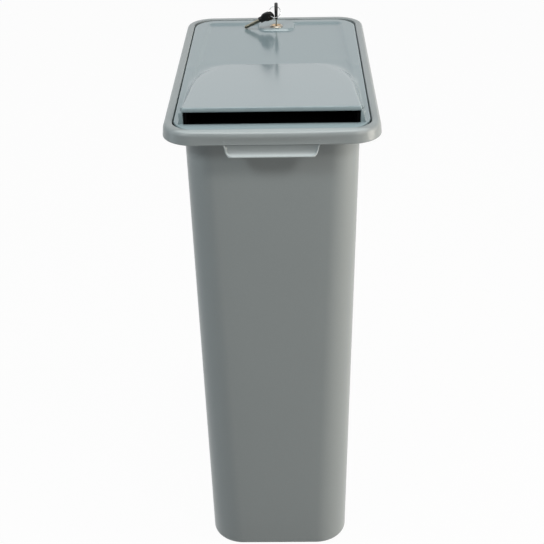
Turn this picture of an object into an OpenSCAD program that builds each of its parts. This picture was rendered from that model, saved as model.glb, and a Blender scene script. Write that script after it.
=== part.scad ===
// Slim secure console bin: tub with rolled rim, sunk lid with a hooded slot, cam lock and keys.
// Millimetres. Origin at the centre of the base, X across, Y along (slot end at -Y), Z up.

/* [Rim] */
// Height of the rim's top above the floor
bin_h = 704; // [600:1:800]
// Outside width of the rim
rim_w = 283; // [270:1:300]
// Outside length of the rim
rim_l = 511; // [480:1:540]
// Outside corner radius of the rim
rim_r = 40; // [38:1:46]
// Width of the rim's top band
rim_band = 12; // [11:0.5:14]
// Rounding of the rim's outer top edge
rim_edge_r = 6; // [4:0.5:7]
// Rounding of the rim's inner top edge
rim_lip_r = 2; // [1:0.25:2.5]
// Depth of the rim's outer skirt
skirt_h = 18; // [16:0.5:24]
// Depth of the ledge that the lid sits over, below the rim's top
ledge_drop = 17; // [16.5:0.5:20]
// Wall of the rim and the ledge
rim_wall = 3; // [2.5:0.1:3.5]
// Spacing of the ribs inside the rolled rim
rim_rib_pitch = 76; // [60:1:120]

/* [Tub] */
// Overhang of the rim beyond the tub's wall, at the rim
overhang = 26.5; // [24:0.5:29]
// Narrowing of each wall from the rim down to the base
tub_taper = 11.6; // [8:0.1:16]
// Wall of the tub
tub_wall = 3; // [2.4:0.1:4]
// Floor of the tub
tub_floor = 4; // [3:0.5:6]
// Upright corner radius at the rim
tub_r_top = 38; // [30:1:42]
// Upright corner radius at the base
tub_r_base = 47; // [36:1:54]
// Rounding round the base
base_edge_r = 7; // [4:0.5:10]
// Depth of the hollow under the base
foot_h = 3; // [1:0.5:4]
// Width of the foot ring that bears on the floor
foot_w = 14; // [10:1:20]

/* [Pull handles] */
// Width of a pull handle
pull_w = 120; // [90:1:150]
// Height of the upright part below the skirt
pull_drop = 3; // [2:0.5:8]
// Reach of the flared lip beyond the rim
pull_reach = 10; // [6:0.5:14]
// Fall of the flared lip
pull_fall = 8.5; // [5:0.5:12]
// Corner radius of the lip seen from the end
pull_r = 7.5; // [4:0.5:8]

/* [Lid] */
// Gap between lid and rim along the sides
lid_gap_x = 2; // [1.8:0.1:3]
// Gap between lid and rim at the ends
lid_gap_y = 3.5; // [3.3:0.1:5]
// Depth of the lid's flange below the rim's top
lid_drop = 0.8; // [0.5:0.1:1]
// Wall of the lid
lid_wall = 2.5; // [2:0.1:3]
// Corner radius of the lid
lid_r = 29; // [28:0.5:32]
// Rounding of the lid's outer edge
lid_edge_r = 3.5; // [3:0.25:4]
// Clearance under the lid's skirt
lid_seat = 0.3; // [0.2:0.1:1]
// Depth of the sunk panel
recess_d = 3; // [2:0.25:3.5]
// Width of the flange beside the sunk panel, at its far end
side_flange = 20.5; // [17:0.5:36]
// Widening of the sunk panel for each millimetre towards the slot
recess_flare = 0.0306; // [0.01:0.0002:0.032]
// Width of the sloping step round the sunk panel
recess_step = 6; // [3:0.5:8]
// Width of the flange behind the sunk panel
rear_flange = 14; // [10:0.5:18]
// Corner radius of the sunk panel
recess_r = 10; // [7:1:16]

/* [Hood and slot] */
// Sill in front of the slot
sill_d = 17; // [15:0.5:20]
// Height of the hood above the rim's top
hood_h = 21; // [18:0.5:26]
// Length of the hood from the slot to the crease
hood_l = 250; // [220:1:270]
// Distance of the hood's top edge inside the lid's side, at the slot
hood_top_in = 10.5; // [9.5:0.5:14]
// Distance of the hood's foot inside the lid's side, at the slot
hood_foot_in = 4.5; // [4.1:0.1:6]
// Reach of the curve at each end of the crease
hood_curve = 55.5; // [40:0.5:70]
// Rounding of the hood's top edges
hood_edge_r = 4; // [2:0.5:5]
// Distance of the slot's end inside the lid's side, at its foot
slot_foot_in = 14.3; // [13.5:0.1:20]
// Distance of the slot's end inside the lid's side, at its top
slot_top_in = 14.3; // [13.5:0.1:20]
// Height of the slot's top above the rim's top
slot_h = 15; // [12:0.5:16.5]

/* [Hinge] */
// Distance of the hinge line behind the lid's near edge
hinge_inset = 10.5; // [10:0.25:11.5]
// Depth of the hinge line below the rim's top
hinge_drop = 7; // [6.8:0.1:7.4]
// Diameter of the hinge rod
rod_d = 3; // [2.5:0.1:3.4]
// Radial clearance between the rod and the lid's knuckles
rod_clear = 0.06; // [0.02:0.01:0.1]
// Radius of knuckles and lugs
knuckle_r = 3.2; // [2.9:0.05:3.2]
// Width of a lid knuckle
knuckle_w = 20; // [12:1:30]
// Width of a tub lug
lug_w = 8; // [6:0.5:12]
// Gap between knuckle and lug
knuckle_gap = 0.5; // [0.3:0.1:1]
// Distance of each hinge's middle inside the lid's side
hinge_in = 47.5; // [36:0.5:76]

/* [Slot liner] */
// Wall of the liner
liner_wall = 2.2; // [1.8:0.1:3]
// Distance of the liner's cheek inside the lid's side, behind the slot
liner_in = 14.8; // [14.7:0.1:18]
// Gap between the liner and the tub's wall, at the ledge
liner_gap = 1.6; // [1.4:0.1:4]
// Length of the sloping floor, measured level
liner_l = 74; // [60:1:80]
// Fall of the sloping floor
liner_fall = 14; // [10:0.5:18]
// Distance of the liner's back wall behind the slot
liner_back = 114; // [108:1:120]
// Depth of the back wall's foot below the rim's top
liner_drop = 52; // [44:1:60]

/* [Lock] */
// Offset of the lock from the middle of the width
lock_x = 2.5; // [-10:0.5:10]
// Distance of the lock's axis from the lid's far edge
lock_inset = 36; // [33.5:0.5:37.5]
// Diameter of the lock's bezel
bezel_d = 20.5; // [19:0.5:24]
// Thickness of the bezel
bezel_t = 2.2; // [1.5:0.1:3]
// Diameter of the threaded barrel
barrel_d = 16.5; // [15.5:0.1:17]
// Length of the barrel below the lid's flange
barrel_l = 20.6; // [19:0.1:21]
// Width across the barrel's flats
barrel_flats = 14; // [13.6:0.1:14.6]
// Diameter of the turning plug
plug_d = 12; // [11:0.1:12.2]
// Radial clearance of the plug
plug_clear = 0.05; // [0.02:0.01:0.1]
// Thickness of the lock nut
nut_t = 4; // [3:0.5:5]
// Width across the flats of the lock nut
nut_flats = 21; // [20:0.5:22]
// Reach of the cam from the lock's axis
cam_reach = 15.5; // [14.5:0.1:15.6]
// Width of the cam
cam_w = 12; // [10:0.5:13]
// Thickness of the cam
cam_t = 2; // [1.5:0.1:2.5]
// Number of wafers
wafer_count = 4; // [2:1:4]

/* [Keys] */
// Thickness of a key blade
blade_t = 2; // [1.6:0.1:2.2]
// Width of a key blade
blade_w = 7.5; // [6.5:0.1:7.6]
// Length of blade below the key's head
blade_l = 27; // [25:0.5:30]
// Length of blade in the lock
blade_in = 15.8; // [14:0.2:17]
// Width of a key head
head_w = 25; // [20:0.5:28]
// Length of a key head
head_l = 24; // [20:0.5:26]
// Thickness of a key head
head_t = 4.2; // [3.2:0.1:4.6]
// Radius of the hole in a key head
head_hole_r = 3.3; // [3.2:0.05:3.5]
// Distance of the hole's centre from the head's end
head_hole_in = 4.8; // [4.6:0.1:6]
// Middle radius of the key ring
ring_r = 9; // [9:0.1:10.5]
// Diameter of the ring's wire
ring_wire_d = 1.6; // [1.2:0.1:1.8]
// Lean of the ring from level
ring_lean = 62; // [58:1:64]

/* [Strike] */
// Width of the strike plate
strike_w = 50; // [36:1:60]
// Height of the strike plate's leg
strike_leg = 34; // [28:1:40]
// Thickness of the strike plate
strike_t = 2; // [1.5:0.1:2.5]
// Depth of the strike tongue's top below the rim's top
strike_drop = 20; // [19.5:0.1:20.4]
// Reach of the tongue
strike_tongue = 9; // [7:0.5:9.2]

/* [Hidden] */

grey = "#a4adaf";
lid_grey = "#a9b3b6";
black = "#101112";
steel = "#b9bcbd";
brass = "#b59a62";

smooth = 96;   // facets of true round shapes
soft = 64;     // facets of the corners inside a hull
eps = 0.01;    // thickness of a layer inside a hull
over = 1;      // how far a cut runs past the face it opens

// Lid well inside the rim
well_x = rim_w/2 - rim_band;
well_y = rim_l/2 - rim_band;
well_r = rim_r - rim_band;

// Tub
tub_x_top = rim_w/2 - overhang;
tub_y_top = rim_l/2 - overhang;
ledge_t = rim_wall;
tub_top_z = bin_h - ledge_drop - ledge_t;
base_round_steps = 4;

// Lid, measured from the rim's top
lid_x = well_x - lid_gap_x;
lid_y = well_y - lid_gap_y;
lid_top = -lid_drop;
lid_under = lid_top - lid_wall;
lid_foot = -ledge_drop + lid_seat;
recess_half = lid_x - side_flange;
recess_z = lid_top - recess_d;
recess_end_y = lid_y - rear_flange;
recess_near_y = -80;
panel_rib_t = 2;

// Hinge line
hinge_x = lid_x - hinge_in;
hinge_y = -lid_y + hinge_inset;
hinge_z = -hinge_drop;
near_skirt_z = -6;           // the lid's near skirt is cut short so that it clears the ledge
rod_r = rod_d/2;
lug_reach = knuckle_w/2 + knuckle_gap + lug_w;
rod_end = 3;                 // reach of the rod beyond the outer lugs
rod_half = hinge_x + lug_reach + rod_end;
cap_t = 2.5;
cap_play = 0.1;              // gap between a cap and its lug
cap_r = rod_r + 1.6;
lug_front = 2.2;             // reach of a lug's stem towards the near end

// Hood
slot_y = -lid_y + sill_d;
crease_y = slot_y + hood_l;
ramp_rise = hood_h - recess_z;
ramp_angle = atan(ramp_rise/hood_l);
hood_top_half = lid_x - hood_top_in;
hood_foot_half = lid_x - hood_foot_in;
slot_foot_half = lid_x - slot_foot_in;
slot_top_half = lid_x - slot_top_in;
hood_mid_y = slot_y + 103;   // where the hood's edges start to curve in towards the crease
hood_mid_half = hood_top_half - 3.5;
crease_half = hood_mid_half - hood_curve;
foot_mid_y = slot_y + 133;
foot_mid_half = recess_half + recess_flare*(recess_end_y - foot_mid_y) + 1;
corner_power = 2.2;
corner_steps = 14;
edge_steps = 3;

// Slot liner
liner_y = slot_y + 1.5;
liner_z = lid_under - 0.5;
liner_slope = liner_fall/liner_l;
liner_half = lid_x - liner_in;
liner_low_half = tub_x_top - tub_wall - liner_gap;
ear_z = -10;
ear_t = 2;
ear_out = lid_x - 6.5;
ear_ys = [22, 50];           // screws behind the slot
post_x = lid_x - 10.2;
post_r = 4;
screw_r = 1.5;
screw_head_r = 3.4;
screw_l = 8;

// Lock
lock_y = lid_y - lock_inset;
tongue_half = 27.5;
tongue_len = 14.5;           // from the lock's axis to the tongue's near end
tongue_r = 12;
collar_r = 14;
collar_z = recess_z - lid_wall;
barrel_r = barrel_d/2;
plug_r = plug_d/2;
plug_head_r = plug_r + 1;
plug_head_t = 1.1;
bezel_z = lid_top + bezel_t;
plug_top = bezel_z - 0.3;
barrel_z = lid_top - barrel_l;
plug_foot = barrel_z - 1.5;
tail_w = 7;
cam_z = plug_foot - cam_t;
cam_play = 0.1;
cam_washer_t = 0.8;
cam_washer_r = 5.5;
cam_screw_head = 2.4;
washer_t = 1;
nut_z = collar_z - washer_t - nut_t;
wafer_t = 1;
wafer_pitch = 2.4;
wafer_w = 6.8;
wafer_l = 9.8;
wafer_play = 0.1;

// Keys, in the key's own place: the hole's centre is the origin and the blade points down
head_z = -head_l + head_hole_in;
tip_z = head_z - blade_l;
tang_l = 8;
key_play = 0.2;
key_z = plug_top - blade_in + blade_l + head_l - head_hole_in;
blade_bottom = key_z + tip_z;
keyway_z = blade_bottom - 0.4;
bits = [1.2, 0.5, 1.6, 0.8];

// Ring, in its own plane: the origin is the inserted key's hole
ring_hang = 12.7;            // turn of the ring's centre from straight below the hole
ring_c = [-ring_r*sin(ring_hang), -ring_r*cos(ring_hang)];
spare_turn = 215;            // place of the spare key round the ring
spare_p = [ring_c[0] + ring_r*cos(spare_turn), ring_c[1] + ring_r*sin(spare_turn)];
spare_at = [lock_x + spare_p[0], lock_y + spare_p[1]*cos(ring_lean),
    key_z + spare_p[1]*sin(ring_lean)];
spare_roll = -42;
spare_heading = -6.25;
tip_rest = 2;                // height of the spare tip's middle above the sunk panel
spare_tilt = acos((spare_at[2] - recess_z - tip_rest)/(-tip_z));

// Strike
pad_y = tub_y_top - tub_wall - 2.5;
pad_z = bin_h - ledge_drop - ledge_t;
pad_h = 42;
rivet_r = 2;
rivet_head_r = 4;
rivet_head_t = 1.2;
rivet_dx = 15;
rivet_z = bin_h - strike_drop - 22;

// Half sizes of the tub's outer face at a height, and its corner radius
function taper(z) = tub_taper*(1 - z/tub_top_z);
function tub_x(z) = tub_x_top - taper(z);
function tub_y(z) = tub_y_top - taper(z);
function tub_r(z) = tub_r_base + (tub_r_top - tub_r_base)*z/tub_top_z;

// Height of the hood's ramp above the rim's top, at a place along the lid
function ramp_z(y) = recess_z + ramp_rise*(crease_y - y)/hood_l;
// Half width of the sunk panel, at a place along the lid
function recess_x(y) = recess_half + recess_flare*(recess_end_y - y);
// Quarter of a squared ellipse from the side round to the end
function squared_arc(cx, cy, a, b, power) = [for (i = [0:corner_steps])
    let (t = 90*i/corner_steps)
    [cx + a*pow(cos(t), 2/power), cy + b*pow(sin(t), 2/power)]];
// Both halves of a symmetrical outline from its right half
function mirrored(half) = concat(half, [for (i = [len(half)-1:-1:0]) [-half[i][0], half[i][1]]]);

// Rounded rectangle by half sizes and radius
module rounded_rect(hx, hy, r, facets = smooth) {
    for (sx = [-1, 1], sy = [-1, 1])
        translate([sx*(hx - r), sy*(hy - r)])
            circle(r, $fn = facets);
    square([2*hx, 2*(hy - r)], center = true);
    square([2*(hx - r), 2*hy], center = true);
}

// Sweeps a profile round a rounded rectangle; the profile's x runs out from the corner's centre
module sweep_run(hx, hy, r) {
    translate([hx - r, hy - r, 0])
        rotate([90, 0, 0])
            linear_extrude(2*(hy - r))
                children();
}
module sweep_round(hx, hy, r) {
    for (turn = [0, 180])
        rotate([0, 0, turn]) {
            sweep_run(hx, hy, r) children();
            rotate([0, 0, 90]) sweep_run(hy, hx, r) children();
            translate([hx - r, hy - r, 0])
                rotate_extrude(angle = 90, $fn = smooth)
                    children();
            translate([-(hx - r), hy - r, 0])
                rotate([0, 0, 90])
                    rotate_extrude(angle = 90, $fn = smooth)
                        children();
        }
}

// ---------- tub ----------

module tub_layer(z, inset, lift) {
    translate([0, 0, z])
        linear_extrude(eps)
            rounded_rect(tub_x(z) - inset - lift, tub_y(z) - inset - lift,
                max(tub_r(z) - inset - lift, 2), soft);
}

// Solid of the tub out to a wall's inset, with its rounded foot
module tub_solid(inset, foot_z, edge_r, top_z) {
    hull() {
        for (i = [0:base_round_steps])
            let (a = 90*i/base_round_steps)
            tub_layer(foot_z + edge_r*(1 - cos(a)), inset, edge_r*(1 - sin(a)));
        tub_layer(top_z - eps, inset, 0);
    }
}

module rim_profile() {
    band_z = -rim_wall;
    translate([well_r, -ledge_drop - ledge_t])
        square([rim_wall, ledge_drop + ledge_t - rim_lip_r]);
    translate([well_r + rim_lip_r, -rim_lip_r])
        circle(rim_lip_r, $fn = smooth);
    translate([well_r + rim_lip_r, band_z])
        square([rim_r - rim_edge_r - well_r - rim_lip_r, rim_wall]);
    intersection() {
        translate([rim_r - rim_edge_r, -rim_edge_r])
            difference() {
                circle(rim_edge_r, $fn = smooth);
                circle(rim_edge_r - rim_wall, $fn = smooth);
            }
        translate([rim_r - rim_edge_r, -rim_edge_r])
            square(rim_edge_r);
    }
    translate([rim_r - rim_wall, -skirt_h + rim_wall/2])
        square([rim_wall, skirt_h - rim_edge_r - rim_wall/2]);
    translate([rim_r - rim_wall/2, -skirt_h + rim_wall/2])
        circle(rim_wall/2, $fn = smooth);
}

// Ribs inside the rolled rim, in rows along one side
module rim_ribs(half_run, at) {
    count = floor(half_run/rim_rib_pitch);
    for (i = [-count:count])
        translate([at - rim_band + rim_wall - over/2, i*rim_rib_pitch - 1, -skirt_h + rim_wall/2])
            cube([rim_band - 2*rim_wall + over, 2, skirt_h - rim_wall - rim_wall/2 + over/2]);
}

module pull_profile() {
    // y runs outwards from the skirt's inner face, z from the rim's top
    knee = -skirt_h - pull_drop;
    lip_y = rim_wall + pull_reach;
    lip_z = knee - pull_fall;
    polygon([[0, -skirt_h + rim_wall], [0, knee - 1.5], [lip_y - 2.6, lip_z - 2.2],
        [lip_y, lip_z + 0.4], [rim_wall, knee], [rim_wall, -skirt_h + rim_wall]]);
    translate([lip_y - 1.4, lip_z - 0.8])
        circle(1.7, $fn = smooth);
}

// Pull handle under the near end of the rim, as a moulded scoop with closed sides
module pull_handle() {
    lip_z = -skirt_h - pull_drop - pull_fall - 2.6;
    intersection() {
        translate([0, -rim_l/2 + rim_wall, 0])
            union() {
                translate([-pull_w/2, 0, 0])
                    rotate([90, 0, 90])
                        linear_extrude(pull_w)
                            mirror([1, 0]) pull_profile();
                for (side = [-1, 1])
                    translate([side*(pull_w/2 - 1.25) - 1.25, 0, 0])
                        rotate([90, 0, 90])
                            linear_extrude(2.5)
                                polygon([[0, -skirt_h + rim_wall], [0, -skirt_h - pull_drop - 1.5],
                                    [-rim_wall - pull_reach + 1.4, lip_z],
                                    [-rim_wall - pull_reach, lip_z + 3.4],
                                    [-rim_wall, -skirt_h + rim_wall/2]]);
            }
        translate([0, 0, -skirt_h + rim_wall/2])
            rotate([90, 0, 0])
                linear_extrude(rim_l)
                    rounded_rect(pull_w/2, -(lip_z + skirt_h - rim_wall/2), pull_r);
    }
}

// Lug that holds the hinge rod, standing on the ledge
module hinge_lug() {
    translate([-lug_w/2, hinge_y, hinge_z])
        rotate([0, 90, 0])
            cylinder(r = knuckle_r, h = lug_w, $fn = smooth);
    translate([-lug_w/2, hinge_y - lug_front, -ledge_drop - ledge_t/2])
        cube([lug_w, lug_front + knuckle_r, ledge_drop + ledge_t/2 + hinge_z]);
}

module at_lugs() {
    for (side = [-1, 1], end = [-1, 1])
        translate([side*hinge_x + end*(lug_reach - lug_w/2), 0, 0])
            children();
}

module bin_body() {
    color(grey)
    difference() {
        union() {
            difference() {
                union() {
                    tub_solid(0, 0, base_edge_r, tub_top_z + ledge_t/2);
                    translate([0, 0, tub_top_z])
                        linear_extrude(ledge_t)
                            rounded_rect(well_x + rim_wall/2, well_y + rim_wall/2,
                                well_r + rim_wall/2);
                }
                tub_solid(tub_wall, tub_floor + foot_h, base_edge_r, tub_top_z + ledge_t + over);
                foot_hollow();
            }
            translate([0, 0, bin_h]) {
                sweep_round(rim_w/2, rim_l/2, rim_r)
                    rim_profile();
                for (turn = [0, 180])
                    rotate([0, 0, turn]) {
                        rim_ribs(rim_l/2 - rim_r, rim_w/2);
                        rotate([0, 0, 90])
                            rim_ribs(rim_w/2 - rim_r, rim_l/2);
                        pull_handle();
                    }
                at_lugs() hinge_lug();
            }
            strike_pad();
        }
        translate([0, 0, bin_h])
            rod_bore(rod_r + 0.02);
        rivet_bores();
    }
}

module foot_hollow() {
    translate([0, 0, -over])
        linear_extrude(foot_h + over)
            rounded_rect(tub_x(0) - base_edge_r - foot_w, tub_y(0) - base_edge_r - foot_w,
                tub_r_base - foot_w);
}

module rod_bore(r) {
    translate([-rod_half - over, hinge_y, hinge_z])
        rotate([0, 90, 0])
            cylinder(r = r, h = 2*(rod_half + over), $fn = smooth);
}

module strike_pad() {
    translate([lock_x - strike_w/2 - 3, pad_y, pad_z - pad_h])
        cube([strike_w + 6, tub_y_top - tub_wall/2 - 1 - pad_y, pad_h]);
}

module at_rivets() {
    for (side = [-1, 1])
        translate([lock_x + side*rivet_dx, 0, rivet_z])
            children();
}

module rivet_bores() {
    at_rivets()
        translate([0, pad_y - over, 0])
            rotate([-90, 0, 0])
                cylinder(r = rivet_r + 0.05, h = 20, $fn = smooth);
}

module hinge_rod() {
    color(steel)
    translate([-rod_half, hinge_y, bin_h + hinge_z])
        rotate([0, 90, 0])
            cylinder(r = rod_r, h = 2*rod_half, $fn = smooth);
}

module rod_caps() {
    color(steel)
    for (side = [-1, 1])
        translate([side*(hinge_x + lug_reach + cap_play), hinge_y, bin_h + hinge_z])
            rotate([0, 90*side, 0])
                difference() {
                    union() {
                        cylinder(r = cap_r, h = cap_t, $fn = smooth);
                        translate([0, 0, cap_t])
                            cylinder(r1 = cap_r, r2 = rod_r + 0.6, h = 1.4, $fn = smooth);
                    }
                    translate([0, 0, -over])
                        cylinder(r = rod_r, h = rod_end - cap_play + over, $fn = smooth);
                }
}

module strike_plate() {
    tongue_z = bin_h - strike_drop;
    color(steel)
    difference() {
        union() {
            translate([lock_x - strike_w/2, pad_y - strike_t, tongue_z - strike_leg])
                cube([strike_w, strike_t, strike_leg]);
            translate([lock_x - strike_w/2, pad_y - strike_tongue, tongue_z - strike_t])
                cube([strike_w, strike_tongue, strike_t]);
        }
        at_rivets()
            translate([0, pad_y - strike_t - over, 0])
                rotate([-90, 0, 0])
                    cylinder(r = rivet_r + 0.05, h = strike_t + 2*over, $fn = smooth);
        for (side = [-1, 1])
            translate([lock_x + side*strike_w/2, pad_y - strike_t - over, tongue_z - strike_leg])
                rotate([-90, 45, 0])
                    translate([-3, -3, 0])
                        cube([6, 6, strike_t + 2*over]);
    }
}

module rivet_head() {
    intersection() {
        cylinder(r = rivet_head_r, h = rivet_head_t, $fn = smooth);
        translate([0, 0, rivet_head_t - 8])
            sphere(r = 8, $fn = smooth);
    }
}

module strike_rivets() {
    out_y = tub_y(rivet_z) + 0.15;
    color(steel)
    at_rivets() {
        translate([0, pad_y - strike_t - 0.4, 0])
            rotate([-90, 0, 0])
                cylinder(r = rivet_r, h = out_y - pad_y + strike_t + 0.8, $fn = smooth);
        translate([0, pad_y - strike_t, 0])
            rotate([90, 0, 0])
                rivet_head();
        translate([0, out_y, 0])
            rotate([-90, 0, 0])
                rivet_head();
    }
}

// ---------- lid ----------

// Slab with a rounded top edge, by half sizes
module lid_slab(inset, top_z, foot_z) {
    hx = lid_x - inset;
    hy = lid_y - inset;
    r = lid_r - inset;
    edge = lid_edge_r - inset;
    core = r - edge;
    translate([0, 0, foot_z])
        linear_extrude(top_z - edge - foot_z)
            rounded_rect(hx, hy, r);
    translate([0, 0, top_z - edge - eps])
        linear_extrude(edge + eps)
            rounded_rect(hx - edge, hy - edge, core);
    sweep_round(hx, hy, r)
        translate([core, top_z - edge])
            intersection() {
                circle(edge, $fn = smooth);
                square(edge);
            }
}

// Outline of the sunk panel, grown all round by a distance
function recess_outline(grow) = let (
        end_y = recess_end_y + grow,
        near_y = recess_near_y,
        half = recess_x(recess_end_y) + grow,
        r = recess_r + grow,
        steps = 6)
    mirrored(concat([[recess_x(near_y) + grow, near_y]],
        [for (i = [0:steps])
            [half - r + r*cos(90*i/steps), end_y - r + r*sin(90*i/steps)]]));

module recess_solid(grow) {
    hull() {
        translate([0, 0, recess_z - grow])
            linear_extrude(eps)
                polygon(recess_outline(grow - recess_step));
        translate([0, 0, lid_top])
            linear_extrude(over)
                polygon(recess_outline(grow));
    }
}

// Tongue of the flange that carries the lock, left standing in the sunk panel
module tongue_solid(shrink) {
    near_y = lock_y - tongue_len;
    translate([lock_x, 0, 0])
        hull() {
            translate([0, near_y + 60, recess_z - lid_wall - over])
                linear_extrude(eps)
                    rounded_rect(tongue_half - shrink + 2, 60 - shrink + 2, tongue_r + 2);
            translate([0, near_y + 60, lid_top + over])
                linear_extrude(eps)
                    rounded_rect(tongue_half - shrink, 60 - shrink, tongue_r);
        }
}

module sunk_panel(grow) {
    difference() {
        recess_solid(grow);
        tongue_solid(grow);
    }
}

// Right half of the hood's top edge, seen from above
function hood_edge(inset) = concat(
    squared_arc(crease_half, hood_mid_y, hood_mid_half - crease_half - inset,
        crease_y - hood_mid_y - inset, corner_power));
// Outline of one layer of the hood's top
function hood_outline(inset, front) = mirrored(concat(
    [[hood_top_half - inset, slot_y + front]], hood_edge(inset)));
// Outline of the hood's foot
function foot_outline(inset, front) = mirrored(concat(
    [[hood_foot_half - inset, slot_y + front]],
    squared_arc(crease_half, foot_mid_y, foot_mid_half - crease_half - inset,
        crease_y - foot_mid_y - inset, corner_power)));

// Solid under the hood's ramp; inset and drop give its inside
module hood_solid(inset, front, foot_z) {
    hull() {
        for (i = [0:edge_steps])
            let (a = 90*i/edge_steps, edge_in = hood_edge_r*(1 - sin(a)),
                edge_down = hood_edge_r*(1 - cos(a)))
            translate([0, crease_y, recess_z - inset - edge_down])
                rotate([-ramp_angle, 0, 0])
                    translate([0, -crease_y, -eps])
                        linear_extrude(eps)
                            polygon(hood_outline(inset + edge_in, front));
        translate([0, 0, foot_z])
            linear_extrude(recess_z - foot_z)
                polygon(foot_outline(inset, front));
    }
}

module slot_cut() {
    translate([0, slot_y - over, 0])
        rotate([-90, 0, 0])
            mirror([0, 1, 0])
                linear_extrude(lid_wall + 2*over)
                    polygon([[-slot_foot_half, lid_top + 0.4], [slot_foot_half, lid_top + 0.4],
                        [slot_top_half, slot_h], [-slot_top_half, slot_h]]);
}

module at_posts() {
    for (side = [-1, 1], y = ear_ys)
        translate([side*post_x, slot_y + y, 0])
            children();
}

module at_knuckles() {
    for (side = [-1, 1])
        translate([side*hinge_x, 0, 0])
            children();
}

module lid_outer() {
    difference() {
        lid_slab(0, lid_top, lid_foot);
        sunk_panel(0);
    }
    intersection() {
        hood_solid(0, 0, recess_z - 0.3);
        translate([-lid_x, slot_y, recess_z - 0.3])
            cube([2*lid_x, 2*lid_y, 60]);
    }
}

module lid_void() {
    difference() {
        lid_slab(lid_wall, lid_under, lid_foot - over);
        sunk_panel(lid_wall);
    }
    hood_solid(lid_wall, lid_wall, lid_foot - over);
}

module lid_shell() {
    stem = hinge_z - lid_under;
    color(lid_grey)
    translate([0, 0, bin_h])
    difference() {
        union() {
            difference() {
                lid_outer();
                lid_void();
                slot_cut();
                translate([-lid_x - over, -lid_y - over, lid_foot - over])
                    cube([2*(lid_x + over), hinge_inset + over, near_skirt_z - lid_foot + over]);
            }
            intersection() {
                at_posts()
                    translate([0, 0, ear_z])
                        cylinder(r = post_r, h = 40, $fn = smooth);
                union() {
                    hood_solid(lid_wall/2, lid_wall/2, lid_foot);
                    translate([-lid_x + lid_wall/2, -lid_y + 8, lid_foot])
                        cube([2*lid_x - lid_wall, 2*lid_y - 16, lid_under + 1 - lid_foot]);
                }
            }
            at_knuckles() {
                translate([-knuckle_w/2, hinge_y, hinge_z])
                    rotate([0, 90, 0])
                        cylinder(r = knuckle_r, h = knuckle_w, $fn = smooth);
                translate([-knuckle_w/2, hinge_y - knuckle_r, hinge_z])
                    cube([knuckle_w, 2*knuckle_r, lid_under + 0.5 - hinge_z]);
            }
            translate([lock_x, lock_y, collar_z])
                cylinder(r = collar_r, h = lid_under + 0.5 - collar_z, $fn = smooth);
            panel_ribs();
        }
        rod_bore(rod_r + rod_clear);
        at_posts()
            translate([0, 0, ear_z - over])
                cylinder(r = screw_r, h = screw_l + over, $fn = smooth);
        translate([lock_x, lock_y, collar_z - over])
            barrel_shape(barrel_r + 0.1, barrel_flats + 0.2, 20);
    }
}

// Stiffening ribs under the sunk panel
module panel_ribs() {
    foot = lid_foot + 5;
    top = recess_z - lid_wall + 0.5;
    near = crease_y + 6;
    far = lock_y - tongue_len - 11;
    half = recess_half - 45;
    for (side = [-1, 1])
        translate([side*half - panel_rib_t/2, near, foot])
            cube([panel_rib_t, far - near, top - foot]);
    for (y = [near, (near + far)/2])
        translate([-half, y, foot])
            cube([2*half, panel_rib_t, top - foot]);
}

// ---------- slot liner ----------

// Side view of the liner's floor line at a distance behind its near edge
function floor_z(d) = liner_z - liner_slope*d;

// Plate in the plane of the liner's sides, centred across by half its thickness
module side_plate(at, thick, points) {
    translate([at - thick/2, 0, 0])
        rotate([90, 0, 90])
            linear_extrude(thick)
                polygon(points);
}

module slot_chute() {
    lip_in = 2.4;             // reach of the level lip under the sill
    top_near = ramp_z(slot_y) - lid_wall - 4.4;
    back = liner_back + liner_wall;
    foot = -liner_drop;
    shoulder = 60;            // distance behind the slot where the cheeks step in
    wall_in = lid_wall - liner_y + slot_y + 0.3;
    color(black)
    translate([0, liner_y, bin_h]) {
        // sloping floor with a level lip under the sill
        side_plate(0, 2*liner_low_half, [[-lip_in, liner_z], [0.6, liner_z],
            [liner_l, floor_z(liner_l)], [liner_l, floor_z(liner_l) - liner_wall],
            [0, floor_z(0) - liner_wall], [-lip_in, liner_z - 1.8]]);
        // back wall that paper drops down
        side_plate(0, 2*liner_low_half, [[liner_back - 4, 1], [back - 4, 1], [back, -8],
            [back, foot], [liner_back, foot], [liner_back, -8]]);
        for (side = [-1, 1]) {
            // cheek inside the tub
            side_plate(side*(liner_low_half - liner_wall/2), liner_wall,
                [[0, -4], [0, floor_z(0) - liner_wall], [liner_l, floor_z(liner_l) - liner_wall],
                [liner_l + 20, foot], [back, foot], [back, -8], [back - 4, 1], [shoulder, 3]]);
            // cheek behind the slot
            side_plate(side*(liner_half - 1.4), 2.8,
                [[0, -11], [shoulder, -14], [shoulder, 3.5], [wall_in, top_near],
                [wall_in, floor_z(0)], [0, floor_z(0)]]);
            // ears that take the screws
            for (y = ear_ys)
                translate([side*(ear_out - 6) - 6, slot_y + y - 5 - liner_y, ear_z - ear_t])
                    difference() {
                        cube([12, 10, ear_t]);
                        translate([6 + side*(post_x - ear_out + 6), 5, -over])
                            cylinder(r = screw_r + 0.2, h = ear_t + 2*over, $fn = smooth);
                    }
        }
    }
}

module chute_screws() {
    color(steel)
    translate([0, 0, bin_h])
        at_posts()
            difference() {
                union() {
                    translate([0, 0, ear_z - ear_t])
                        cylinder(r = screw_r - 0.02, h = screw_l, $fn = smooth);
                    translate([0, 0, ear_z - ear_t - 2])
                        cylinder(r1 = screw_head_r - 0.6, r2 = screw_head_r, h = 2, $fn = smooth);
                }
                for (turn = [0, 90])
                    rotate([0, 0, turn])
                        translate([-2, -0.4, ear_z - ear_t - 2 - over])
                            cube([4, 0.8, 1.2 + over]);
            }
}

// ---------- lock ----------

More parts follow.
